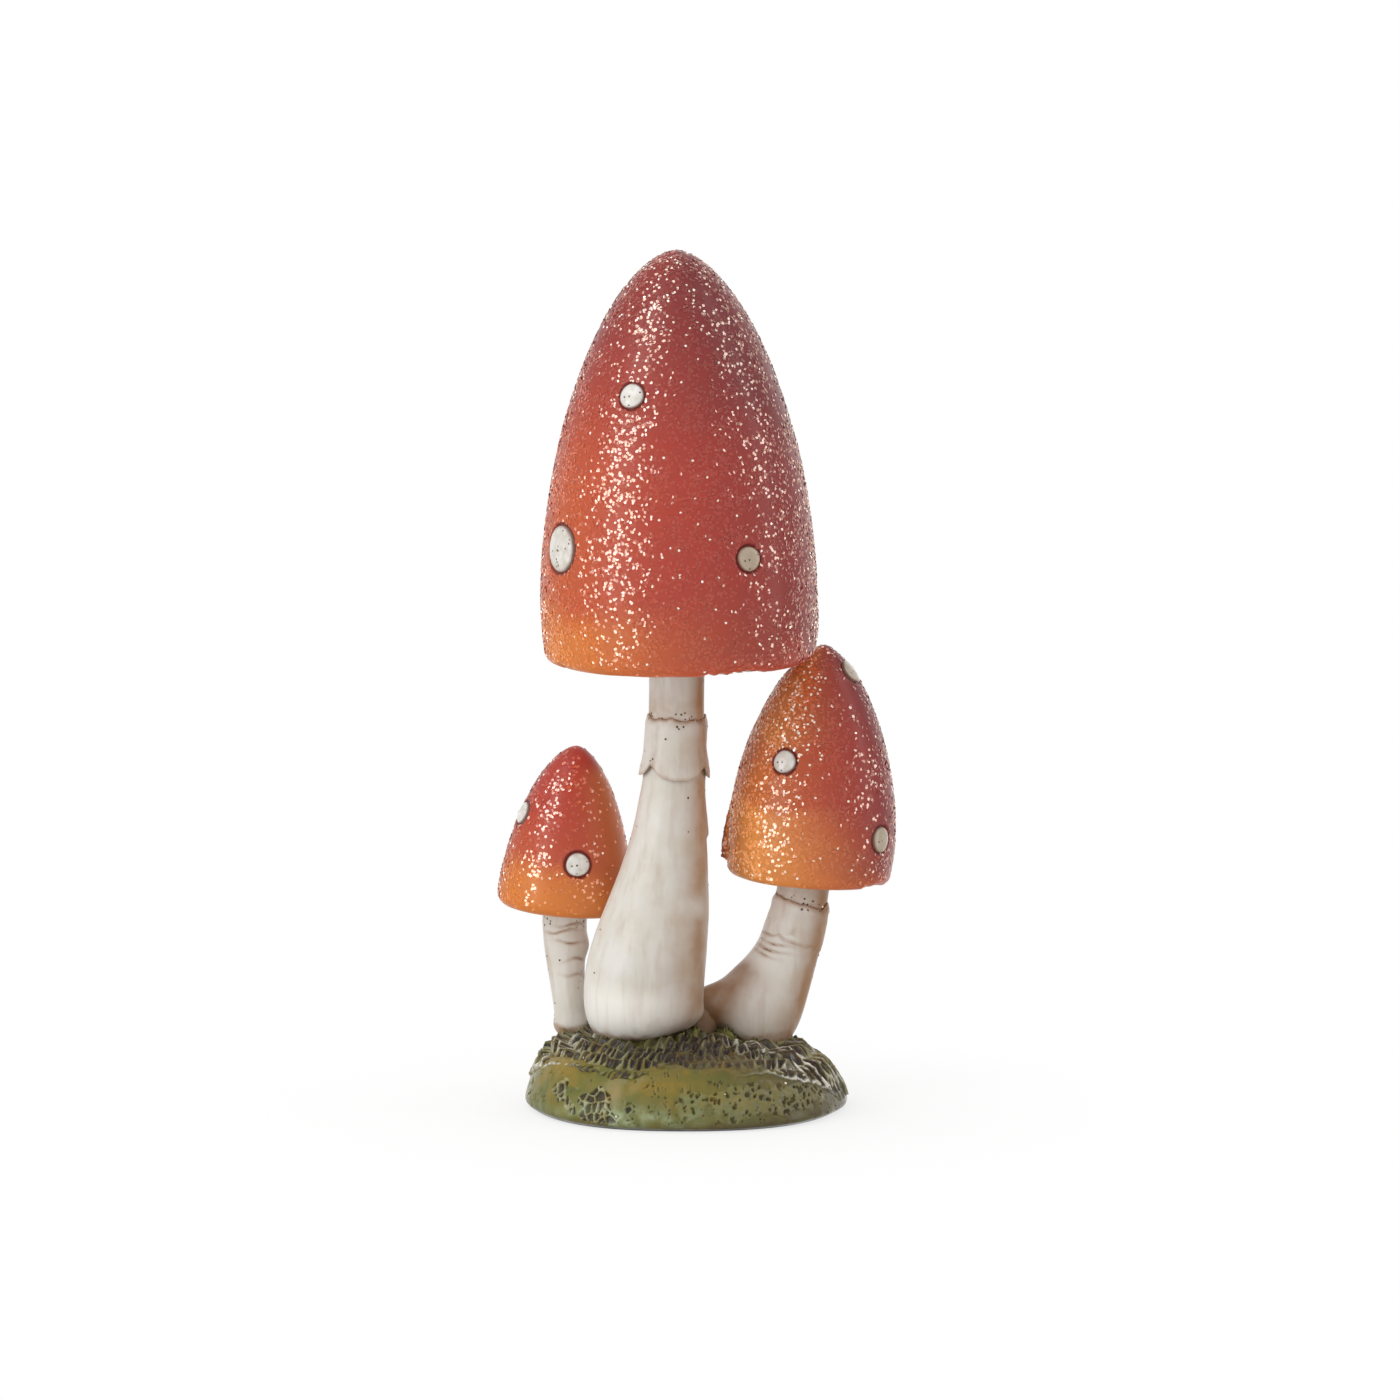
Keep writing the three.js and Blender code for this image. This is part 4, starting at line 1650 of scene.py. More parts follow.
        # tan, partly painted shade, and the paler ivory of painted light, as on the stem
        values = {"wash": wash, "tan": self.tan(spot, turn, level), "clean": self.clean.at(turn, level),
                  "glitter": flakes}
        rows = self.bend(lathed(ring, radius, level))
        return make_piece(f"{self.name}_collar_skirt", rows.reshape(-1, 3),
                          skin_faces(len(shares), collar.sides, loop=True), values)


# Mound


def luck(row: Array, cell: Array, seed: float) -> Array:
    """Draw a number from 0 to 1 for each cell of a pattern, always the same for the same cell."""
    return np.modf(np.abs(np.sin(row * 12.9898 + cell * 78.233 + seed * 37.719) * 43758.5453))[0]


@dataclass(frozen=True)
class Stamp:
    """Rows of hollows pressed into the moss. Lengths are in mm on its skin."""

    row: float
    column: float
    lean: float
    power: float
    fill: tuple[float, float]
    wander: float
    seed: float

    def press(self, reach: Array, bearing: Array, run: Array, radii: Array) -> tuple[Array, Array]:
        """Read how deep in a hollow places lie, and where in a row.

        Args:
            reach: Distance of the places up the skin from its lower edge.
            bearing: Their bearings in degrees.
            run: Distances up the skin at which its radius is known.
            radii: The skin's radius there.

        Returns:
            1 at the bottom of a hollow and 0 on the ridges between them, and how far up its row
            each place is, from 0 to 1.
        """
        turn = np.radians(bearing)
        waves = np.sin(5 * turn + self.seed) + 0.6 * np.sin(12 * turn + 2.1 * self.seed)
        waves = waves + 0.4 * np.sin(29 * turn)
        along = (reach + self.wander * waves) / self.row
        row = np.floor(along)
        up = along - row - 0.5
        round_it = 2 * np.pi * np.interp((row + 0.5) * self.row, run, radii)
        count = np.maximum(np.round(round_it / self.column), 1)
        around = bearing / 360 * count + 0.5 * (row % 2) - self.lean * up * self.row / self.column
        cell = np.floor(around)
        side = around - cell - 0.5
        cell = cell % count
        side = side + 0.22 * (luck(row, cell, self.seed) - 0.5)
        wide = self.fill[0] * (0.78 + 0.22 * luck(row, cell, self.seed + 1))
        tall = self.fill[1] * (0.75 + 0.25 * luck(row, cell, self.seed + 2))
        far = np.abs(2 * side / wide) ** self.power + np.abs(2 * up / tall) ** self.power
        return clipped(1 - far) ** 0.6 * (0.55 + 0.45 * luck(row, cell, self.seed + 3)), up + 0.5


@dataclass
class Mound:
    """The mound of moss: a smooth pitted band below and a tier of pressed moss on it.

    The ledge gives the height of the tier's lower edge by bearing, and the overhang how
    sharply it stands off the band there. The honeycomb, the chewed places, the ochre dabs,
    the mint and the painted highlights on the flanks are where the band and the paint show them.
    """

    half_width: float = 28.02
    height: float = 13.4
    depth_ratio: float = 0.945
    edge_height: float = 1.9
    underside_inset: float = 1.4
    brow_drop: float = 1.8
    brow_inset: float = 8.3
    shoulder_drop: float = 4.6
    shoulder_inset: float = 3.0
    top_inset: float = 18.7
    fall_to_right: float = 1.5
    lobes: int = 5
    lobe_height: float = 0.35
    skin_inset: float = 0.16
    step: float = 0.2
    run_step: float = 0.1
    sides: int = 1000
    front_share: float = 0.35
    core_radius: float = 8.0
    overlap: float = 1.6
    ledge: tuple[tuple[float, float], ...] = (
        (-180, 8.0), (-150, 7.0), (-120, 4.6), (-95, 4.8), (-80, 6.7), (-60, 8.8), (-40, 9.0),
        (-30, 8.1), (-20, 8.8), (-12, 10.2), (-3, 10.4), (4, 9.6), (30, 9.6), (35, 9.8), (45, 8.6),
        (60, 6.8), (75, 2.8), (92, 2.2), (120, 4.0), (150, 7.0), (180, 8.0))
    overhang: tuple[tuple[float, float], ...] = (
        (-180, 0.5), (-110, 0.4), (-85, 1.0), (-45, 1.0), (-25, 0.8), (-10, 0.3), (0, 0.05),
        (28, 0.05), (36, 0.9), (62, 1.0), (80, 0.5), (180, 0.5))
    ledge_rise: float = 0.5
    slot_depth: float = 0.9
    terrace_rise: float = 1.8
    pit_depth: float = 0.55
    lip_height: float = 0.8
    dip_depth: float = 1.3
    lip_width: float = 1.5
    feet: list[tuple[float, float, float]] = field(default_factory=list)
    slots: Stamp = Stamp(3.9, 1.45, 0.45, 2.1, (1.08, 1.12), 0.7, 1.0)
    flank: Stamp = Stamp(6.6, 2.5, 0.1, 2.0, (1.1, 1.15), 0.9, 4.0)
    cells: Stamp = Stamp(2.8, 1.4, 0.08, 2.6, (1.02, 1.0), 0.35, 7.0)
    honeycomb: tuple[Swell, ...] = (Swell(-34, 3.7, 13, 3.0), Swell(-54, 5.6, 5, 1.8))
    chewed: tuple[Swell, ...] = (Swell(22, 5.0, 14, 2.8), Swell(48, 5.2, 11, 2.4), Swell(1, 5, 5, 2.6, 0.8))
    ochre_dabs: tuple[Swell, ...] = (Swell(-62, 9.2, 22, 2.0, 0.9), Swell(-12, 7.4, 22, 1.4, 0.75))
    mint: Swell = Swell(-27, 2.2, 26, 1.9)
    fresh_tuft: tuple[float, float] = (8.4, -0.8)
    tuft_gap: float = 0.42
    tuft_size: tuple[float, float, float] = (1.5, 0.36, 0.3)

    def __post_init__(self) -> None:
        """Trace the outline once."""
        self.line = even_steps(self.knotted_outline(), self.run_step)
        self.run = np.arange(len(self.line)) * self.run_step
        self.normals = plane_normals(self.line)
        self.rising = self.line[:, 1] < self.height - 0.05

    def knotted_outline(self) -> Array:
        """Trace a smooth line through the outline's knots.

        Returns:
            Rows of radius and height, from the edge of the underside up to the middle of the top.
        """
        knots = np.array([
            [self.half_width - self.underside_inset, 0],
            [self.half_width, self.edge_height],
            [self.half_width - self.shoulder_inset, self.height - self.shoulder_drop],
            [self.half_width - self.brow_inset, self.height - self.brow_drop],
            [self.half_width - self.top_inset, self.height],
        ])
        ends = np.concatenate([knots[:1], knots, knots[-1:]])
        t = np.linspace(0, 1, 60)[:-1, None]
        parts = []
        for a, b, c, d in zip(ends, ends[1:], ends[2:], ends[3:]):
            enter, leave = (c - a) / 2, (d - b) / 2
            parts.append(b + enter * t + (3 * (c - b) - 2 * enter - leave) * t ** 2
                         + (2 * (b - c) + enter + leave) * t ** 3)
        return np.concatenate([*parts, knots[-1:], [[0.6, self.height]]])

    def uneven(self, plain: Array) -> Array:
        """Swell the side and let the top fall to the right, as the whole mound does.

        Args:
            plain: Points of a round and even mound.

        Returns:
            The same points on the real one.
        """
        x, y, z = plain[..., 0], plain[..., 1] * self.depth_ratio, plain[..., 2]
        swell = 1 + (self.lobe_height / self.half_width) * np.sin(self.lobes * np.arctan2(y, x)) * (z > 0)
        return np.stack([x * swell, y * swell, z * self.fall_at(x)], axis=-1)

    def fall_at(self, x: Array | float) -> Array | float:
        """Share of its height that the mound keeps as it falls to the right."""
        return 1 - (self.fall_to_right / self.height) * (x / self.half_width)

    def height_at(self, x: float, y: float) -> float:
        """Find the height of the plain moss over a place in plan.

        Args:
            x: How far to the right it lies, in mm.
            y: How far back it lies, in mm.

        Returns:
            The height in mm.
        """
        upper = self.line[self.line[:, 1] >= self.edge_height][::-1]
        level = np.interp(math.hypot(x, y / self.depth_ratio), upper[:, 0], upper[:, 1])
        return float(level * self.fall_at(x))

    def reach_at(self, height: Array) -> Array:
        """Distance up the skin at which it reaches a height on its side."""
        return np.interp(height, self.line[self.rising, 1], self.run[self.rising])

    def bearings(self) -> Array:
        """Bearings all round, closer together at the front."""
        turn = np.arange(self.sides) * 360 / self.sides - 180
        return turn - np.degrees(self.front_share) * np.sin(np.radians(turn))

    def ledge_at(self, bearing: Array) -> Array:
        """Height of the ledge under the pressed tier."""
        level = np.interp(off_bearing(bearing, 0), *np.array(self.ledge).T)
        return level + lumpy(outward(bearing) * 12, (0.6, 1.9, 51), (0.35, 0.8, 57))

    def sharp_at(self, bearing: Array) -> Array:
        """How sharply the tier stands off the band, from 0 to 1."""
        level = np.interp(off_bearing(bearing, 0), *np.array(self.overhang).T)
        return clipped(level * (1 + 0.5 * grain(outward(bearing) * 12, 3, 63)))

    def place(self, reach: Array, bearing: Array, lift: Array) -> Array:
        """Find places on the skin, lifted off it.

        Args:
            reach: Distances up the skin in mm.
            bearing: Bearings in degrees.
            lift: How far to lift them in mm.

        Returns:
            Points of the mound.
        """
        radius, height, side, up = (np.interp(reach, self.run, v) for v in (*self.line.T, *self.normals.T))
        lifted = lift - self.skin_inset
        plain = lathed(outward(bearing), radius + side * lifted, height + up * lifted)
        plain[..., 2] = np.maximum(plain[..., 2], 0)
        return self.uneven(plain)

    def at_feet(self, points: Array) -> Array:
        """Read how near places lie to a stem's foot.

        Args:
            points: Points of the mound.

        Returns:
            0 far away and 1 against a foot.
        """
        near = np.zeros(points.shape[:-1])
        for x, y, radius in self.feet:
            gap = np.hypot(points[..., 0] - x, points[..., 1] - y) - radius
            near = np.maximum(near, bell(np.maximum(gap, 0), 0, self.lip_width))
        return near

    def dip(self, points: Array) -> Array:
        """Read how far the moss dips in front of the stems' feet.

        Args:
            points: Points of the mound.

        Returns:
            Depths in mm.
        """
        depth = np.zeros(points.shape[:-1])
        for x, y, radius in self.feet:
            gap = np.hypot(points[..., 0] - x, points[..., 1] - y + radius)
            depth = np.maximum(depth, self.dip_depth * min(radius / 6, 1) * bell(gap, 0, 0.75 * radius))
        return depth

    def tier(self, reach: Array, bearing: Array) -> tuple[Array, Array, Array]:
        """Read the relief of the pressed tier.

        Args:
            reach: Distance up the skin.
            bearing: Bearings in degrees.

        Returns:
            How far it stands off the plain skin, how deep in a hollow it lies, and how near to a foot.
        """
        points = self.place(reach, bearing, np.zeros_like(reach))
        radii = self.line[:, 0]
        sway = 4 * np.sin(reach * 1.1)
        comb = ease(np.abs(off_bearing(bearing, 16) + sway), 25, 20) * ease(reach, 19.5, 18.5)
        steep = ease(np.abs(off_bearing(bearing, 90)), 44, 34)
        bent = reach + lumpy(points, (0.7, 3.2, 83), (0.3, 1.2, 84))
        turned = bearing + lumpy(points, (3.0, 4.0, 85), (0.9, 1.1, 86))
        slot, slot_rise = self.slots.press(bent, turned, self.run, radii)
        long, long_rise = self.flank.press(bent, turned, self.run, radii)
        cell, cell_rise = self.cells.press(reach + 0.6 * grain(points, 2.2, 87), turned, self.run, radii)
        hollow = (slot * (1 - steep) + long * steep) * (1 - comb) + 0.5 * cell * comb
        rise = (slot_rise * (1 - steep) + long_rise * steep) * (1 - comb) + cell_rise * comb
        near = self.at_feet(points)
        lumps = lumpy(points, (0.25, 5, 31), (0.12, 1.8, 33), (0.05, 0.7, 35))
        over = reach - self.reach_at(self.ledge_at(bearing))
        sharp = self.sharp_at(bearing)
        inside = sharp + (1 - sharp) * ease(over, 0, 1.8)
        flat = ease(points[..., 2], 7.5, 10.5) * (1 - 0.5 * comb)
        terrace = np.where(rise < 0.4, rise / 0.4, (1 - rise) / 0.6) - 0.5
        lift = self.ledge_rise * sharp * (0.3 + 0.9 * bell(over, 0.4, 2.0))
        lift = lift + (lumps + self.terrace_rise * terrace * flat) * inside
        hollow = hollow * inside * (1 - 0.6 * near)
        lift = lift - self.slot_depth * hollow
        lift = lift + self.lip_height * near * (0.75 + 0.6 * grain(points, 1.6, 39)) - self.dip(points)
        return lift, hollow, near

    def turf(self) -> Piece:
        """Make the tier of pressed moss, which laps over the band below.

        Returns:
            The tier with its painted numbers.
        """
        bearing = self.bearings()
        low = self.reach_at(self.ledge_at(bearing))
        core = float(np.interp(-self.core_radius, -self.line[:, 0], self.run))
        rows = int((core - low.mean()) / (self.step * 1.1))
        share = np.concatenate([[0, 0], np.linspace(0, 1, rows)])[:, None]
        inner = np.linspace(core + 0.5, self.run[-1], 14)[:, None] + 0 * bearing
        reach = np.concatenate([low + (core - low) * share, inner])
        turn = np.tile(bearing, (len(reach), 1))
        lift, hollow, near = self.tier(reach, turn)
        lift[0], lift[1] = -1.8, lift[2] - 0.12 - 0.5 * self.sharp_at(bearing)
        height = self.place(reach, turn, np.zeros_like(reach))[..., 2]
        shade = beside(turn, -6, 14) * ease(height, 9.8, 11.0)
        values = {"groove": clipped(hollow + 0.2 * shade), **self.painted(reach, turn, hollow, near)}
        values["ridge"] = values["ridge"] * (1 - 0.6 * shade)
        # painted highlight along the ledge's edge on the left and right flanks
        highlight_sides = beside(bearing, -76, 20) + 1.2 * beside(bearing, 52, 16)
        values["frost"] = np.maximum(values["frost"], clipped(bell(reach - low, 0.2, 0.32) * highlight_sides))
        return closed_skin("mound_turf", self.place(reach, turn, lift), values)

    def band(self) -> Piece:
        """Make the smooth lower band with its clusters of pits, and the flat underside.

        Returns:
            The band with its painted numbers.
        """
        bearing = self.bearings()
        top = self.reach_at(self.ledge_at(bearing)) + self.overlap
        reach = top * np.linspace(0, 1, int(top.max() / self.step))[:, None]
        turn = np.tile(bearing, (len(reach), 1))
        points = self.place(reach, turn, np.zeros_like(reach))
        z = points[..., 2]
        open_band = ease(z, 0.7, 1.8) * ease(top - self.overlap - reach, -0.2, 0.9)
        back = ease(np.abs(off_bearing(turn, 0)), 70, 90)
        broad = grain(points, 2.2, 36)
        honey = ease(total(self.honeycomb, turn, z) + 0.5 * broad, 0.42, 0.62) * (1 - back)
        honey = honey + ease(grain(points, 4.4, 38), 0.15, 0.35) * back
        rough = ease(total(self.chewed, turn, z) + 0.4 * broad, 0.2, 0.5) * (1 - back)
        rough = rough + ease(grain(points, 5, 46), 0.1, 0.4) * back
        hole = pits(points + 0.3 * grain(points, 1.6, 82)[..., None], 1.6, 6, 0.1)
        hole = hole * ease(honey + 0.35 * grain(points, 1.5, 84), 0.35, 0.7)
        strayed = points + 0.6 * np.stack([grain(points, 1.1, k) for k in (81, 83, 85)], axis=-1)
        chewed = 0.7 * ease(pits(strayed, 1.15, 2), 0.15, 0.5) * rough
        sparse = ease(grain(points, 2.0, 44) + 0.4 * beside(turn, -11, 9), 0.15, 0.4)
        fine = 0.7 * ease(pits(strayed, 0.7, 9), 0.25, 0.6) * sparse
        groove = np.maximum(np.maximum(hole, chewed), fine) * open_band
        crest = np.maximum(0.9 * honey * ease(hole, 0.5, 0.1), 0.6 * rough * ease(chewed, 0.3, 0.02))
        crest = crest * open_band
        lumps = lumpy(points, (0.22, 7, 31), (0.1, 2.4, 33)) + 0.16 * rough * grain(points, 0.9, 34)
        lift = lumps * ease(reach, 0.2, 2.5) - self.pit_depth * groove + 0.14 * crest
        tint = np.maximum(np.maximum(hole * (0.34 + 0.2 * broad), 0.27 * chewed), 0.3 * fine) * open_band
        values = {**self.painted(reach, turn, groove, np.zeros_like(groove)),
                  "groove": np.maximum(tint, 0.55 * bell(reach, 0, 1.0)),
                  "ridge": crest,
                  # painted highlight on the honeycomb's crests
                  "frost": 0.12 * crest * (honey > 0.3),
                  "umber": clipped(self.umber(turn, z, groove) + 0.7 * hole)}
        skin = self.place(reach, turn, lift * ease(reach, 0, 0.8))
        edge = skin[:1] * np.array([1, 1, 0.0])
        floor = np.concatenate([edge * share for share in np.linspace(0.1, 0.97, 8)])
        full = {key: np.concatenate([np.repeat(v[:1], len(floor), 0), v]) for key, v in values.items()}
        return closed_skin("mound_band", np.concatenate([floor, skin]), full)

    def umber(self, turn: Array, z: Array, near: Array) -> Array:
        """How strongly umber covers places at the right, on top, at the feet and along the lower edge."""
        share = 0.9 * beside(turn, 58, 50) + 0.75 * ease(z, 9.6, 11.6) + 0.3 * near
        return clipped(share + 0.6 * bell(z, 0.4, 1.0))

    def painted(self, reach: Array, turn: Array, hollow: Array, near: Array) -> dict[str, Array]:
        """Read the numbers for the paint's patches, the dry-brushed ridges, the painted highlights and the
        stray flakes.

        Args:
            reach: Distances up the skin in mm.
            turn: Bearings in degrees.
            hollow: How deep in a hollow the places lie, from 0 to 1.
            near: How near they lie to a foot, from 0 to 1.

        Returns:
            The numbers by the names that the finish reads.
        """
        points = self.place(reach, turn, np.zeros_like(reach))
        z = points[..., 2]
        ochre = 0.6 * ease(grain(points, 3.5, 61), 0.05, 0.4) * ease(z, 2.5, 6)
        ochre = ochre * (1 - 0.7 * beside(turn, 40, 36))
        ochre = np.max([ochre, *(dab.at(turn, z) for dab in self.ochre_dabs)], axis=0)
        mint = self.mint.at(turn, z) * ease(grain(points, 2.6, 71), -0.6, 0.1)
        olive = 1 - 0.8 * beside(turn, 40, 40)
        mint = np.maximum(mint, 0.25 * olive * ease(grain(points, 3.2, 73), 0.2, 0.45) * bell(z, 3.0, 2.5))
        crest = (1 - hollow) ** 3
        soft = 1 - 0.6 * beside(turn, 16, 22)
        ridge = crest * soft * (0.35 + 0.65 * ease(grain(points, 1.4, 77), -0.3, 0.3))
        # painted highlight on the crests of the flanks
        flanks = clipped(1.3 * (beside(turn, 64, 20) + 0.6 * beside(turn, -78, 14)))
        frost = crest ** 4 * flanks * ease(grain(points, 2.6, 79), -0.1, 0.12)
        fresh = np.maximum(near * (0.3 + 0.7 * beside(turn, 40, 30)), bell(self.off_tuft(points), 0, 2.4))
        shares = {"ochre": ochre, "mint": mint, "umber": self.umber(turn, z, near), "ridge": ridge,
                  "frost": frost, "fresh": fresh, "glitter": 0.05 * ease(z, 1, 4)}
        return {key: clipped(share) for key, share in shares.items()}

    def off_tuft(self, points: Array) -> Array:
        """Distance in plan from the fresh tuft between the feet, in mm."""
        return np.hypot(points[..., 0] - self.fresh_tuft[0], points[..., 1] - self.fresh_tuft[1])

    def tufts(self, copies: Tree, finish: Material) -> Piece:
        """Set small blades of moss against the stems' feet.

        Args:
            copies: The tree that sets copies.
            finish: The moss's material.

        Returns:
            All blades as one piece.
        """
        draw = np.random.default_rng(12)
        spots, leans = [], []
        for x, y, radius in self.feet:
            count = int(2 * np.pi * radius / self.tuft_gap)
            lean = outward(np.arange(count) * 360 / count + draw.normal(0, 3, count))
            gap = radius + draw.uniform(0.1, 1.3, count)
            leans.append(lean)
            spots.append(np.array([x, y, 0.0]) + lean * gap[:, None])
        points, away = np.concatenate(spots), np.concatenate(leans)
        across = points[:, 1] / self.depth_ratio
        bearing = np.degrees(np.arctan2(points[:, 0], -across))
        rising = slice(40, None)
        reach = np.interp(-np.hypot(points[:, 0], across), -self.line[rising, 0], self.run[rising])
        seats = self.place(reach, bearing, self.tier(reach, bearing)[0])
        keep = (seats[:, 2] > 6) & (draw.uniform(0, 1, len(seats)) < 0.1 + bell(self.off_tuft(seats), 0, 3.4))
        slope = draw.uniform(0.5, 1.1, (len(points), 1))
        swing = draw.normal(0, 0.35, (len(points), 1)) * np.cross(UP, away)
        facing = unit(-away * 0.5 + UP * slope + swing)
        marks = {"places": seats[keep], "facing": facing[keep], "upright": away[keep],
                 "stretch": draw.uniform(0.7, 1.3, int(keep.sum()))}
        made = set_ridges("mound_tufts", marks, self.tuft_size, 7, copies,
                          {"Variation": 0.25, "Seed": 3, "Finish": finish})
        turn = bearing_of(corners_of(made))
        for key, numbers in (("fresh", 0.2 + 0.8 * beside(turn, 46, 40)), ("ridge", 0 * turn + 0.5),
                             ("umber", 0 * turn + 0.25)):
            write(made.data, key, numbers)
        return made


@dataclass(frozen=True)
class Fillet:
    """The web of resin that joins the large and the middle foot. Its tan and wash are partly painted shade
    between the feet.
    """

    middle: tuple[float, float, float] = (3.0, 4.2, 13.6)
    sizes: tuple[float, float, float] = (2.6, 2.6, 3.6)
    sides: int = 48

    def build(self) -> Piece:
        """Make it as an uneven ball.

        Returns:
            The web in its place.
        """
        swing = np.radians(np.linspace(-80, 80, 26))
        turn, rise = np.meshgrid(np.arange(self.sides) * 360 / self.sides, swing)
        ball = lathed(outward(turn), np.cos(rise), np.sin(rise)) * np.array(self.sizes)
        rows = np.array(self.middle) + ball * (1 + 0.14 * grain(ball, 1.8, 91))[..., None]
        # wash and tan, partly painted shade between the feet
        wash = 0.1 + 0.35 * ease(grain(rows, 1.4, 93), -0.2, 0.4)
        return closed_skin("foot_fillet", rows, {"wash": wash, "tan": np.full(wash.shape, 0.9)})


# Studio


@dataclass
class Softbox:
    """A tall soft light that looks at the ornament."""

    name: str
    bearing: float
    elevation: float
    distance: float
    width: float
    height: float
    radiance: float


@dataclass
class Studio:
    """Floor, white surroundings, soft lights and the camera. Distances are in metres."""

    distance: float = 2.0
    elevation: float = 8.1
    target: tuple[float, float, float] = (0.0024, 0.0, 0.0712)
    lens: float = 36 * 11600 / 1400
    floor_radius: float = 4.0
    floor_sides: int = 96
    floor_gap: float = 0.00002
    ambient: float = 0.74
    back_ambient: float = 1.0
    lean: float = 0.15
    front_gloss: float = 0.05
    back_gloss: float = 1.0
    gloss_lean: float = 0.3
    boxes: list[Softbox] = field(default_factory=lambda: [
        Softbox("key_softbox", -55, 24, 1.3, 0.48, 2.4, 2.1),
        Softbox("fill_softbox", 86, 20, 1.4, 0.24, 2.2, 1.8),
    ])

    def camera(self) -> None:
        """Place the camera at the photograph's angle."""
        data = bpy.data.cameras.new("camera")
        data.lens = self.lens
        data.clip_start, data.clip_end = 0.1, 50
        camera = add_object("camera", data)
        rise = math.radians(self.elevation)
        x, y, z = self.target
        camera.location = (x, y - self.distance * math.cos(rise), z + self.distance * math.sin(rise))
        camera.rotation_euler = (math.pi / 2 - rise, 0, 0)
        bpy.context.scene.camera = camera

    def lamps(self) -> None:
        """Hang the softboxes."""
        for box in self.boxes:
            data = bpy.data.lights.new(box.name, "AREA")
            data.shape = "RECTANGLE"
            data.size, data.size_y = box.width, box.height
            data.energy = box.radiance * math.pi * box.width * box.height
            lamp = add_object(box.name, data)
            turn, rise = math.radians(box.bearing), math.radians(box.elevation)
            away = np.array([math.sin(turn) * math.cos(rise), -math.cos(turn) * math.cos(rise),
                             math.sin(rise)])
            lamp.location = np.array(self.target) + away * box.distance
            lamp.rotation_euler = (math.pi / 2 - rise, 0, turn)

    def surroundings(self) -> None:
        """White to the camera, brighter behind the ornament than in front of it to gloss."""
        world = bpy.data.worlds.new("studio")
        bpy.context.scene.world = world
        world.use_nodes = True
        nodes = Nodes(world.node_tree)
        path = nodes.add("ShaderNodeLightPath").outputs
        plain = nodes.calc("MAXIMUM", path[Ray.CAMERA.value], path[Ray.TRANSMISSION.value])
        along = nodes.add("ShaderNodeTexCoord").outputs["Generated"]
        x, y, _ = nodes.add("ShaderNodeSeparateXYZ", {0: along}).outputs
        sweep = nodes.spread(y, (0.3, 0.95), (self.front_gloss, self.back_gloss))
        sweep = nodes.times(sweep, nodes.spread(x, (-0.8, 0.8), (1 - self.gloss_lean, 1 + self.gloss_lean)))
        soft = nodes.spread(y, (-0.3, 0.5), (self.ambient, self.back_ambient))
        soft = nodes.times(soft, nodes.spread(x, (-0.6, 0.6), (1 + self.lean, 1 - self.lean)))
        gloss = nodes.add("ShaderNodeMix", {0: path[Ray.GLOSSY.value], 2: soft, 3: sweep}).outputs[0]
        level = nodes.add("ShaderNodeMix", {0: plain, 2: gloss, 3: 1.0}).outputs[0]
        back = nodes.add("ShaderNodeBackground", {"Color": paint("#FFFFFF"), "Strength": level}).outputs[0]
        nodes.add("ShaderNodeOutputWorld", {"Surface": back})

    def floor(self) -> None:
        """Lay a white floor that keeps the shadow, fades into the background and has no reflection."""
        ring = outward(np.arange(self.floor_sides) * 360 / self.floor_sides) * self.floor_radius
        mesh = bpy.data.meshes.new("floor")
        mesh.from_pydata((ring - UP * self.floor_gap).tolist(), [], [list(range(self.floor_sides))])
        floor = add_object("floor", mesh)
        made, nodes = Finish("matt_white_floor").start()
        card = nodes.add("ShaderNodeBsdfDiffuse", {"Color": paint("#FAFAFA")}).outputs[0]
        white = nodes.add("ShaderNodeEmission", {"Color": paint("#FFFFFF"), "Strength": 1.0}).outputs[0]
        away = nodes.add("ShaderNodeVectorMath", {0: nodes.places()}, operation="LENGTH").outputs["Value"]
        fade = nodes.spread(away, (0.03, 0.08), (0.75, 1.0))
        share = nodes.times(fade, nodes.add("ShaderNodeLightPath").outputs[Ray.CAMERA.value])
        top = nodes.add("ShaderNodeMixShader", {0: share, 1: card, 2: white}).outputs[0]
        clear = nodes.add("ShaderNodeBsdfTransparent").outputs[0]
        under = nodes.add("ShaderNodeNewGeometry").outputs["Backfacing"]
        both = nodes.add("ShaderNodeMixShader", {0: under, 1: top, 2: clear}).outputs[0]
        nodes.add("ShaderNodeOutputMaterial", {"Surface": both})
        mesh.materials.append(made)
        floor.visible_glossy = False

    def build(self) -> None:
        """Set up the whole studio."""
        bpy.context.scene.view_settings.view_transform = "Standard"
        self.camera()
        self.lamps()
        self.surroundings()
        self.floor()


# The ornament


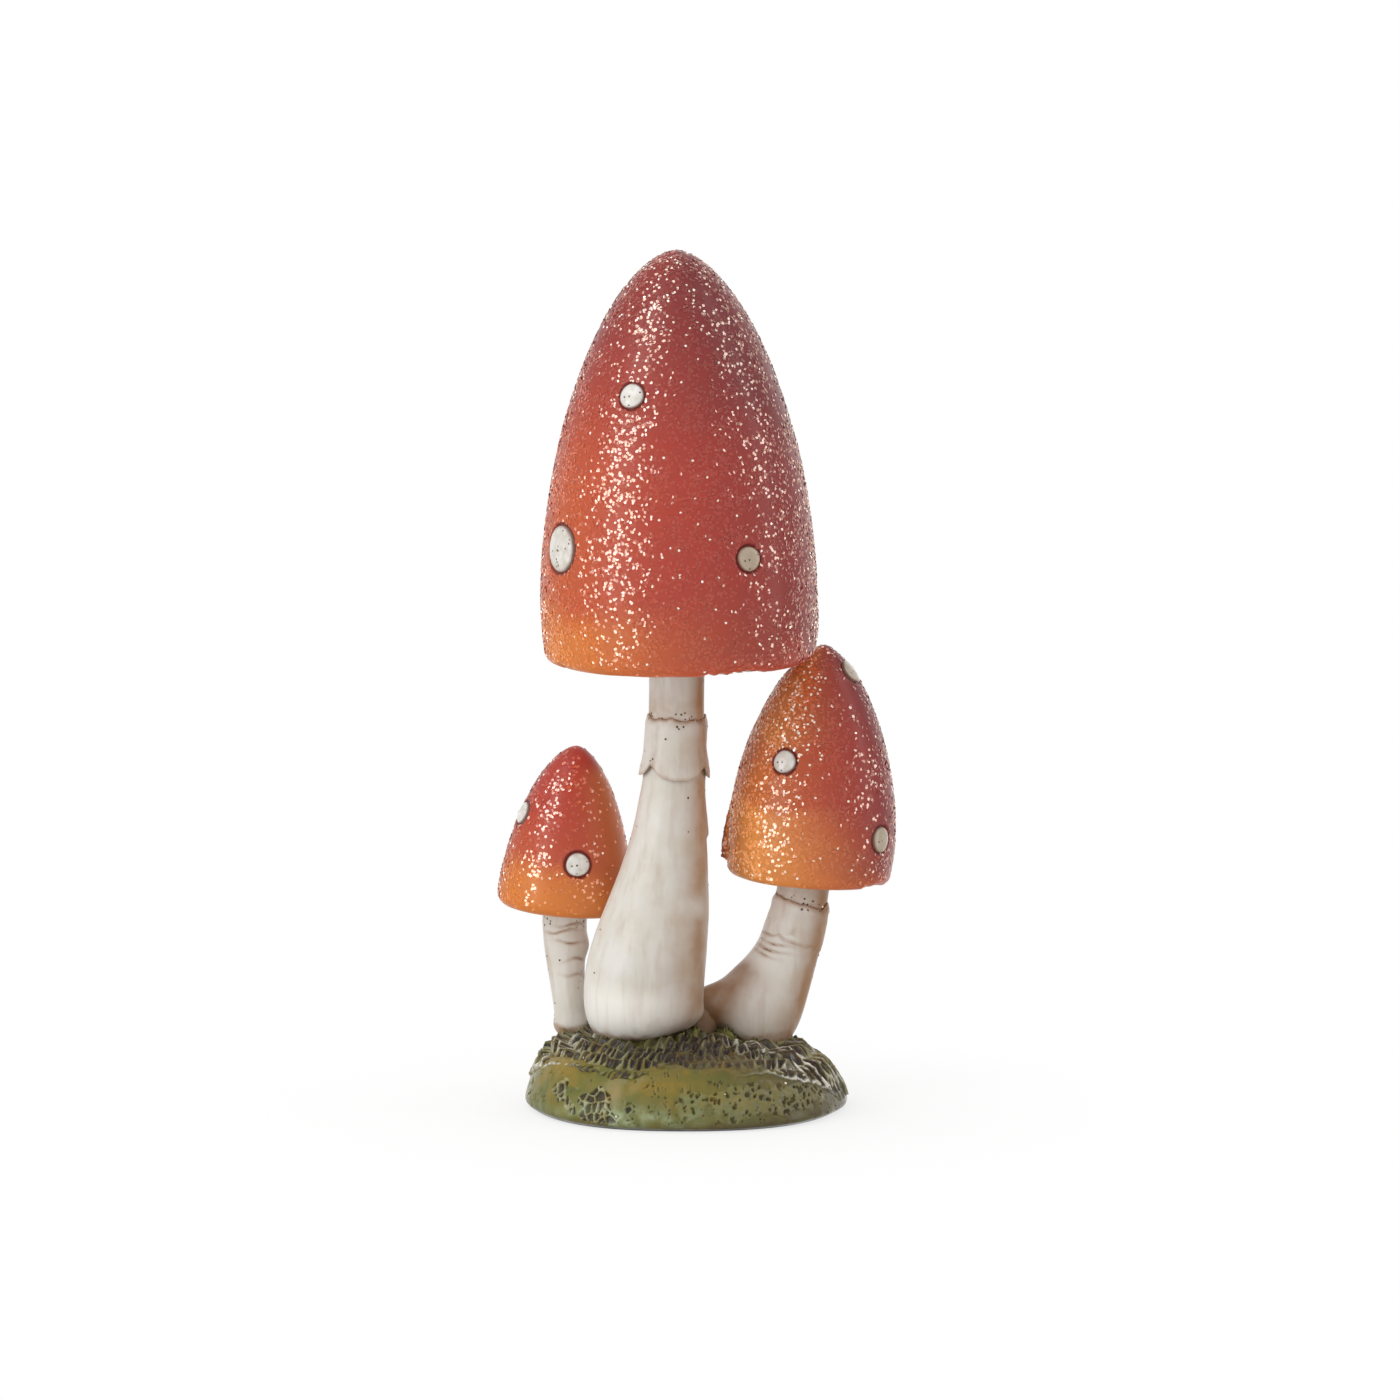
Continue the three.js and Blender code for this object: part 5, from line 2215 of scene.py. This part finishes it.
def make_caps() -> list[Cap]:
    """Size the three caps.

    Returns:
        The large, the medium and the small cap.
    """
    large = Cap(
        name="large", rim=(-1.12, -1.0, 78.06), radius=23.95, height=71.3, lean=-0.5, widest_height=12,
        rim_tuck=1, rim_rounding=2, dish=1.5, fullness=1.76, taper=0.573, seat_radius=5.6, step=0.52,
        fade=Fade(side=-66, spread=40, rim_spread=52, rim_height=19, rim_floor=0.1,
                  upper=0.36, upper_height=66,
                  dusk_side=78, dusk_spread=58, dusk=0.85, dusk_top=0.68, top=68),
        # a spot's fifth number is its beige: dirt, and partly painted shade on the right side
        spots=[Spot(-26, 0.672, 4.4), Spot(-60, 0.298, 8.2, 0.3, 0.2), Spot(31, 0.285, 4.3, 0.4, 0.85),
               Spot(112, 0.38, 7.6, 0.3), Spot(148, 0.64, 4.6), Spot(165, 0.2, 4.4), Spot(-165, 0.45, 8, 0.3),
               Spot(-128, 0.22, 4.4), Spot(-118, 0.62, 4.2)],
        swells=[Swell(92, 5, 22, 4.5, 0.4)],
        # painted highlights on flakes at the cap's edges and tip
        painted_glints=(Patch(-88, 10, -9, 90, 0.25), Patch(90, 14, -9, 90, 0.4), Patch(0, 200, 60, 90, 0.06)),
        chips=[Chip(28, 19, 0.32, 0.45), Chip(-64, 2.6, 0.4), Chip(-152, 9, 0.25, 0.25)],
    )
    medium = Cap(
        name="medium", rim=(21.21, 8.47, 38.7), radius=14.7, height=41.2, lean=3.8, widest_height=6.5,
        rim_tuck=0.6, rim_rounding=1.3, dish=1.2, fullness=1.99, taper=0.674, seat_radius=5.5, step=0.42,
        fade=Fade(side=-66, spread=56, rim_spread=88, rim_height=15, rim_floor=0.25,
                  upper=0.85, upper_height=52,
                  dusk_side=78, dusk_spread=50, dusk=0.9, dusk_top=0.25, top=41,
                  # partly painted light on the medium cap's lower and upper left, which the large stem and
                  # cap shade
                  amber=(Patch(-62, 55, -5, 13, 0.8), Patch(-50, 40, 27, 42, 0.5))),
        # painted highlights on flakes at the upper left and the right edge
        skin_inset=0.17, painted_glints=(Patch(-25, 22, 22, 38, 0.3), Patch(90, 12, -9, 60, 0.25)),
        # a spot's fifth number is its beige: dirt, and partly painted shade on the right side
        spots=[Spot(-27, 0.53, 4.1), Spot(72, 0.9, 4.6, 0.3, 0.7), Spot(55, 0.217, 4.5, 0.3, 0.8),
               Spot(118, 0.52, 4.4), Spot(160, 0.24, 4.2), Spot(-152, 0.6, 4.4), Spot(-112, 0.28, 4.4)],
        flashes=[Flash(-90, 2.2, 16, 1.1)], chips=[Chip(58, 16, 0.3, 0.15)], gills=48,
        glitter_amount=2.5, bare_side=0.5,
    )
    small = Cap(
        name="small", rim=(-21.44, 12.95, 32.6), radius=11.7, height=29, lean=5, widest_height=3,
        rim_tuck=0.1, rim_rounding=2, dish=1, fullness=1.53, taper=0.576, seat_radius=4.65, step=0.4,
        fade=Fade(side=-60, spread=60, rim_spread=110, rim_height=13, rim_floor=0.6,
                  upper=0.3, upper_height=24,
                  dusk_side=-105, dusk_spread=40, dusk=0.3, dusk_top=0.0, top=29,
                  # painted light on the small cap's right side, which the large stem shades
                  amber=(Patch(72, 44, -5, 26, 0.5),)),
        # painted highlights on flakes at the left edge
        painted_glints=(Patch(-84, 10, -9, 40, 0.12),),
        glitter_amount=1.5, bare_side=0.95,
        spots=[Spot(10, 0.334, 4.2), Spot(-73, 0.578, 4), Spot(125, 0.3, 4), Spot(172, 0.56, 4),
               Spot(-130, 0.28, 4.2)],
        gills=40,
    )
    return [large, medium, small]


def make_stems(mound: Mound, caps: list[Cap]) -> list[Stem]:
    """Size the three stems.

    Args:
        mound: The mound that they stand in.
        caps: The caps that they carry.

    Returns:
        The stems in the order of their caps.
    """
    large, medium, small = caps
    return [
        Stem(
            name="large", foot=(-6.8, -2.0, mound.height_at(-6.8, -2.0)), rim=large.rim, lean=large.lean,
            dish=large.dish, neck_radius=4.8, neck_offset=-0.5, neck_reach=50, waist_radius=5.6,
            bulb_radius=10.4, bulb_drop=8.4, bulb_sink=1.3, foot_lean=-11, foot_reach=15, peg_radius=4,
            # tan on the right side, partly painted shade
            tan_and_shade=[Patch(60, 34, 25, 80, 1.0), Patch(54, 36, -2, 22, 0.9), Patch(95, 24, -2, 6, 0.4)],
            collar=Collar(10.9, 10.1, 0.5, 0.46, (-44, 56, 140, -140), 2.4, 0.75, 3, folds=(-38, 50)),
            flashes=[Flash(90, 34.5, 42, 0.45, 4)], swells=[Swell(88, 1.0, 24, 2.4, 0.9)],
        ),
        Stem(
            name="medium", foot=(9.65, 6.68, mound.height_at(9.65, 6.68)), rim=medium.rim, lean=medium.lean,
            dish=medium.dish, neck_radius=4.5, neck_offset=-0.7, neck_reach=13, waist_radius=5.4,
            bulb_radius=7.8, bulb_drop=5, bulb_sink=1.6, foot_lean=36, foot_reach=7.5, peg_radius=3.2,
            # tan on the left foot, and tan on the right side that is partly painted shade
            tan_and_shade=[Patch(-84, 60, -7, 10, 1.3), Patch(66, 38, 0, 40, 1.3), Patch(10, 120, -7, 2.5, 0.1)],
            collar=Collar(5.2, 6.8, 0.45, 0.06, (-30, 40, 118, -115), 0.6, 0.4, 6, fall=-0.9, proud=0.02,
                          low_line=0.35, tuck=0.5, folds=(-5,), peaks=(Swell(82, 0, 24, 1, 1.5),)),
            creases=[Crease(15.2, -40, 38, 0.2, 0.8), Crease(16.6, -30, 34, 0.17, 0.7),
                     Crease(13.9, -48, 30, 0.15, 0.6), Crease(19.4, -20, 40, 0.16, -0.9),
                     Crease(20.6, 66, 14, 0.24, 1.2)],
            swells=[Swell(-84, 0.2, 28, 3.6, 3.0)],
            # painted light on the medium stem's left front, which the large stem shades
            glitter_top=4, stray=0.012, clean=Patch(-50, 52, -4, 60, 1.0),
        ),
        Stem(
            name="small", foot=(-19.67, 10.08, mound.height_at(-19.67, 10.08)), rim=small.rim,
            lean=small.lean, dish=small.dish, neck_radius=3.9, neck_offset=0.45, neck_reach=8,
            waist_radius=3.9, bulb_radius=2.75, bulb_drop=3, bulb_sink=1, foot_lean=-6, foot_reach=7,
            peg_radius=1.7,
            # tan on the right side, partly painted shade
            tan_and_shade=[Patch(85, 34, 9, 30, 0.45)],
            swells=[Swell(85, 15.0, 26, 2.0, 0.7), Swell(-95, 1.4, 60, 1.6, 0.5),
                    Swell(60, 1.0, 60, 1.5, 0.5)],
            creases=[Crease(17.6, -10, 50, 0.28, 0.6), Crease(15.6, 15, 40, 0.24, -0.5),
                     Crease(12.4, 40, 36, 0.2, 0.4), Crease(18.9, 20, 45, 0.22, 0.4),
                     Crease(9.6, 30, 40, 0.16, -0.6)],
            # painted light on the small stem's right side, which the large stem shades
            sides=112, step=0.3, foot_wash=1.9, streak=0.18, stray=0.07, clean=Patch(75, 75, -4, 60, 1.0),
        ),
    ]


def main() -> None:
    """Build the ornament piece by piece and set up the studio."""
    logging.basicConfig(level=logging.INFO, format="%(name)s %(message)s")
    cap_paint, stem_paint = CapFinish().build(), StemFinish().build()
    spot_paint, moss_paint = SpotFinish().build(), MossFinish().build()
    film, stray_film = GlitterFinish(spray=Spray()).build(), GlitterFinish("stray_film_flakes").build()
    flakes, fine, copies = Flakes(), Flakes(size=0.4, seed=6), copies_tree()
    strewn = flakes.tree()
    mound = Mound(feet=[(-6.8, -2.0, 7.7), (10.6, 6.68, 6.9), (-19.67, 10.08, 2.5)])
    band, turf = mound.band(), mound.turf()
    stray = [grow("mound_flakes", piece, strewn, fine.values(film)) for piece in (band, turf)]
    settle(band, Slot.MOSS, moss_paint, "base_mound")
    settle(turf, Slot.MOSS, moss_paint)
    settle(mound.tufts(copies, moss_paint), Slot.MOSS, moss_paint)
    settle(join("mound_stray_flakes", stray), Slot.MOSS, stray_film)
    settle(Fillet().build(), Slot.STEM, stem_paint)
    caps = make_caps()
    for cap, stem in zip(caps, make_stems(mound, caps)):
        skin = stem.skin()
        stray = [grow("stem_flakes", skin, strewn, fine.values(film))]
        settle(skin, Slot.STEM, stem_paint, f"{stem.name}_stem")
        if stem.collar:
            skirt = stem.skirt()
            stray.append(grow("collar_flakes", skirt, strewn, fine.values(film)))
            settle(skirt, Slot.COLLAR, stem_paint, f"{stem.name}_collar")
        shell = cap.shell()
        glitter = grow(f"{cap.name}_cap_glitter", shell, strewn, flakes.values(film))
        settle(shell, Slot.CAP, cap_paint, f"{cap.name}_cap")
        settle(glitter, Slot.CAP, film)
        for number, spot in enumerate(cap.spots, 1):
            drop = cap.drop_spot(spot, number)
            stray.append(grow("spot_flakes", drop, strewn, fine.values(film)))
            settle(drop, Slot.SPOT, spot_paint, f"{cap.name}_cap_spot_{number}")
        settle(cap.gill_fan(copies, stem_paint), Slot.STEM, stem_paint)
        settle(join(f"{cap.name}_stray_flakes", stray), Slot.CAP, stray_film)
    Studio().build()


if __name__ == "__main__":
    main()
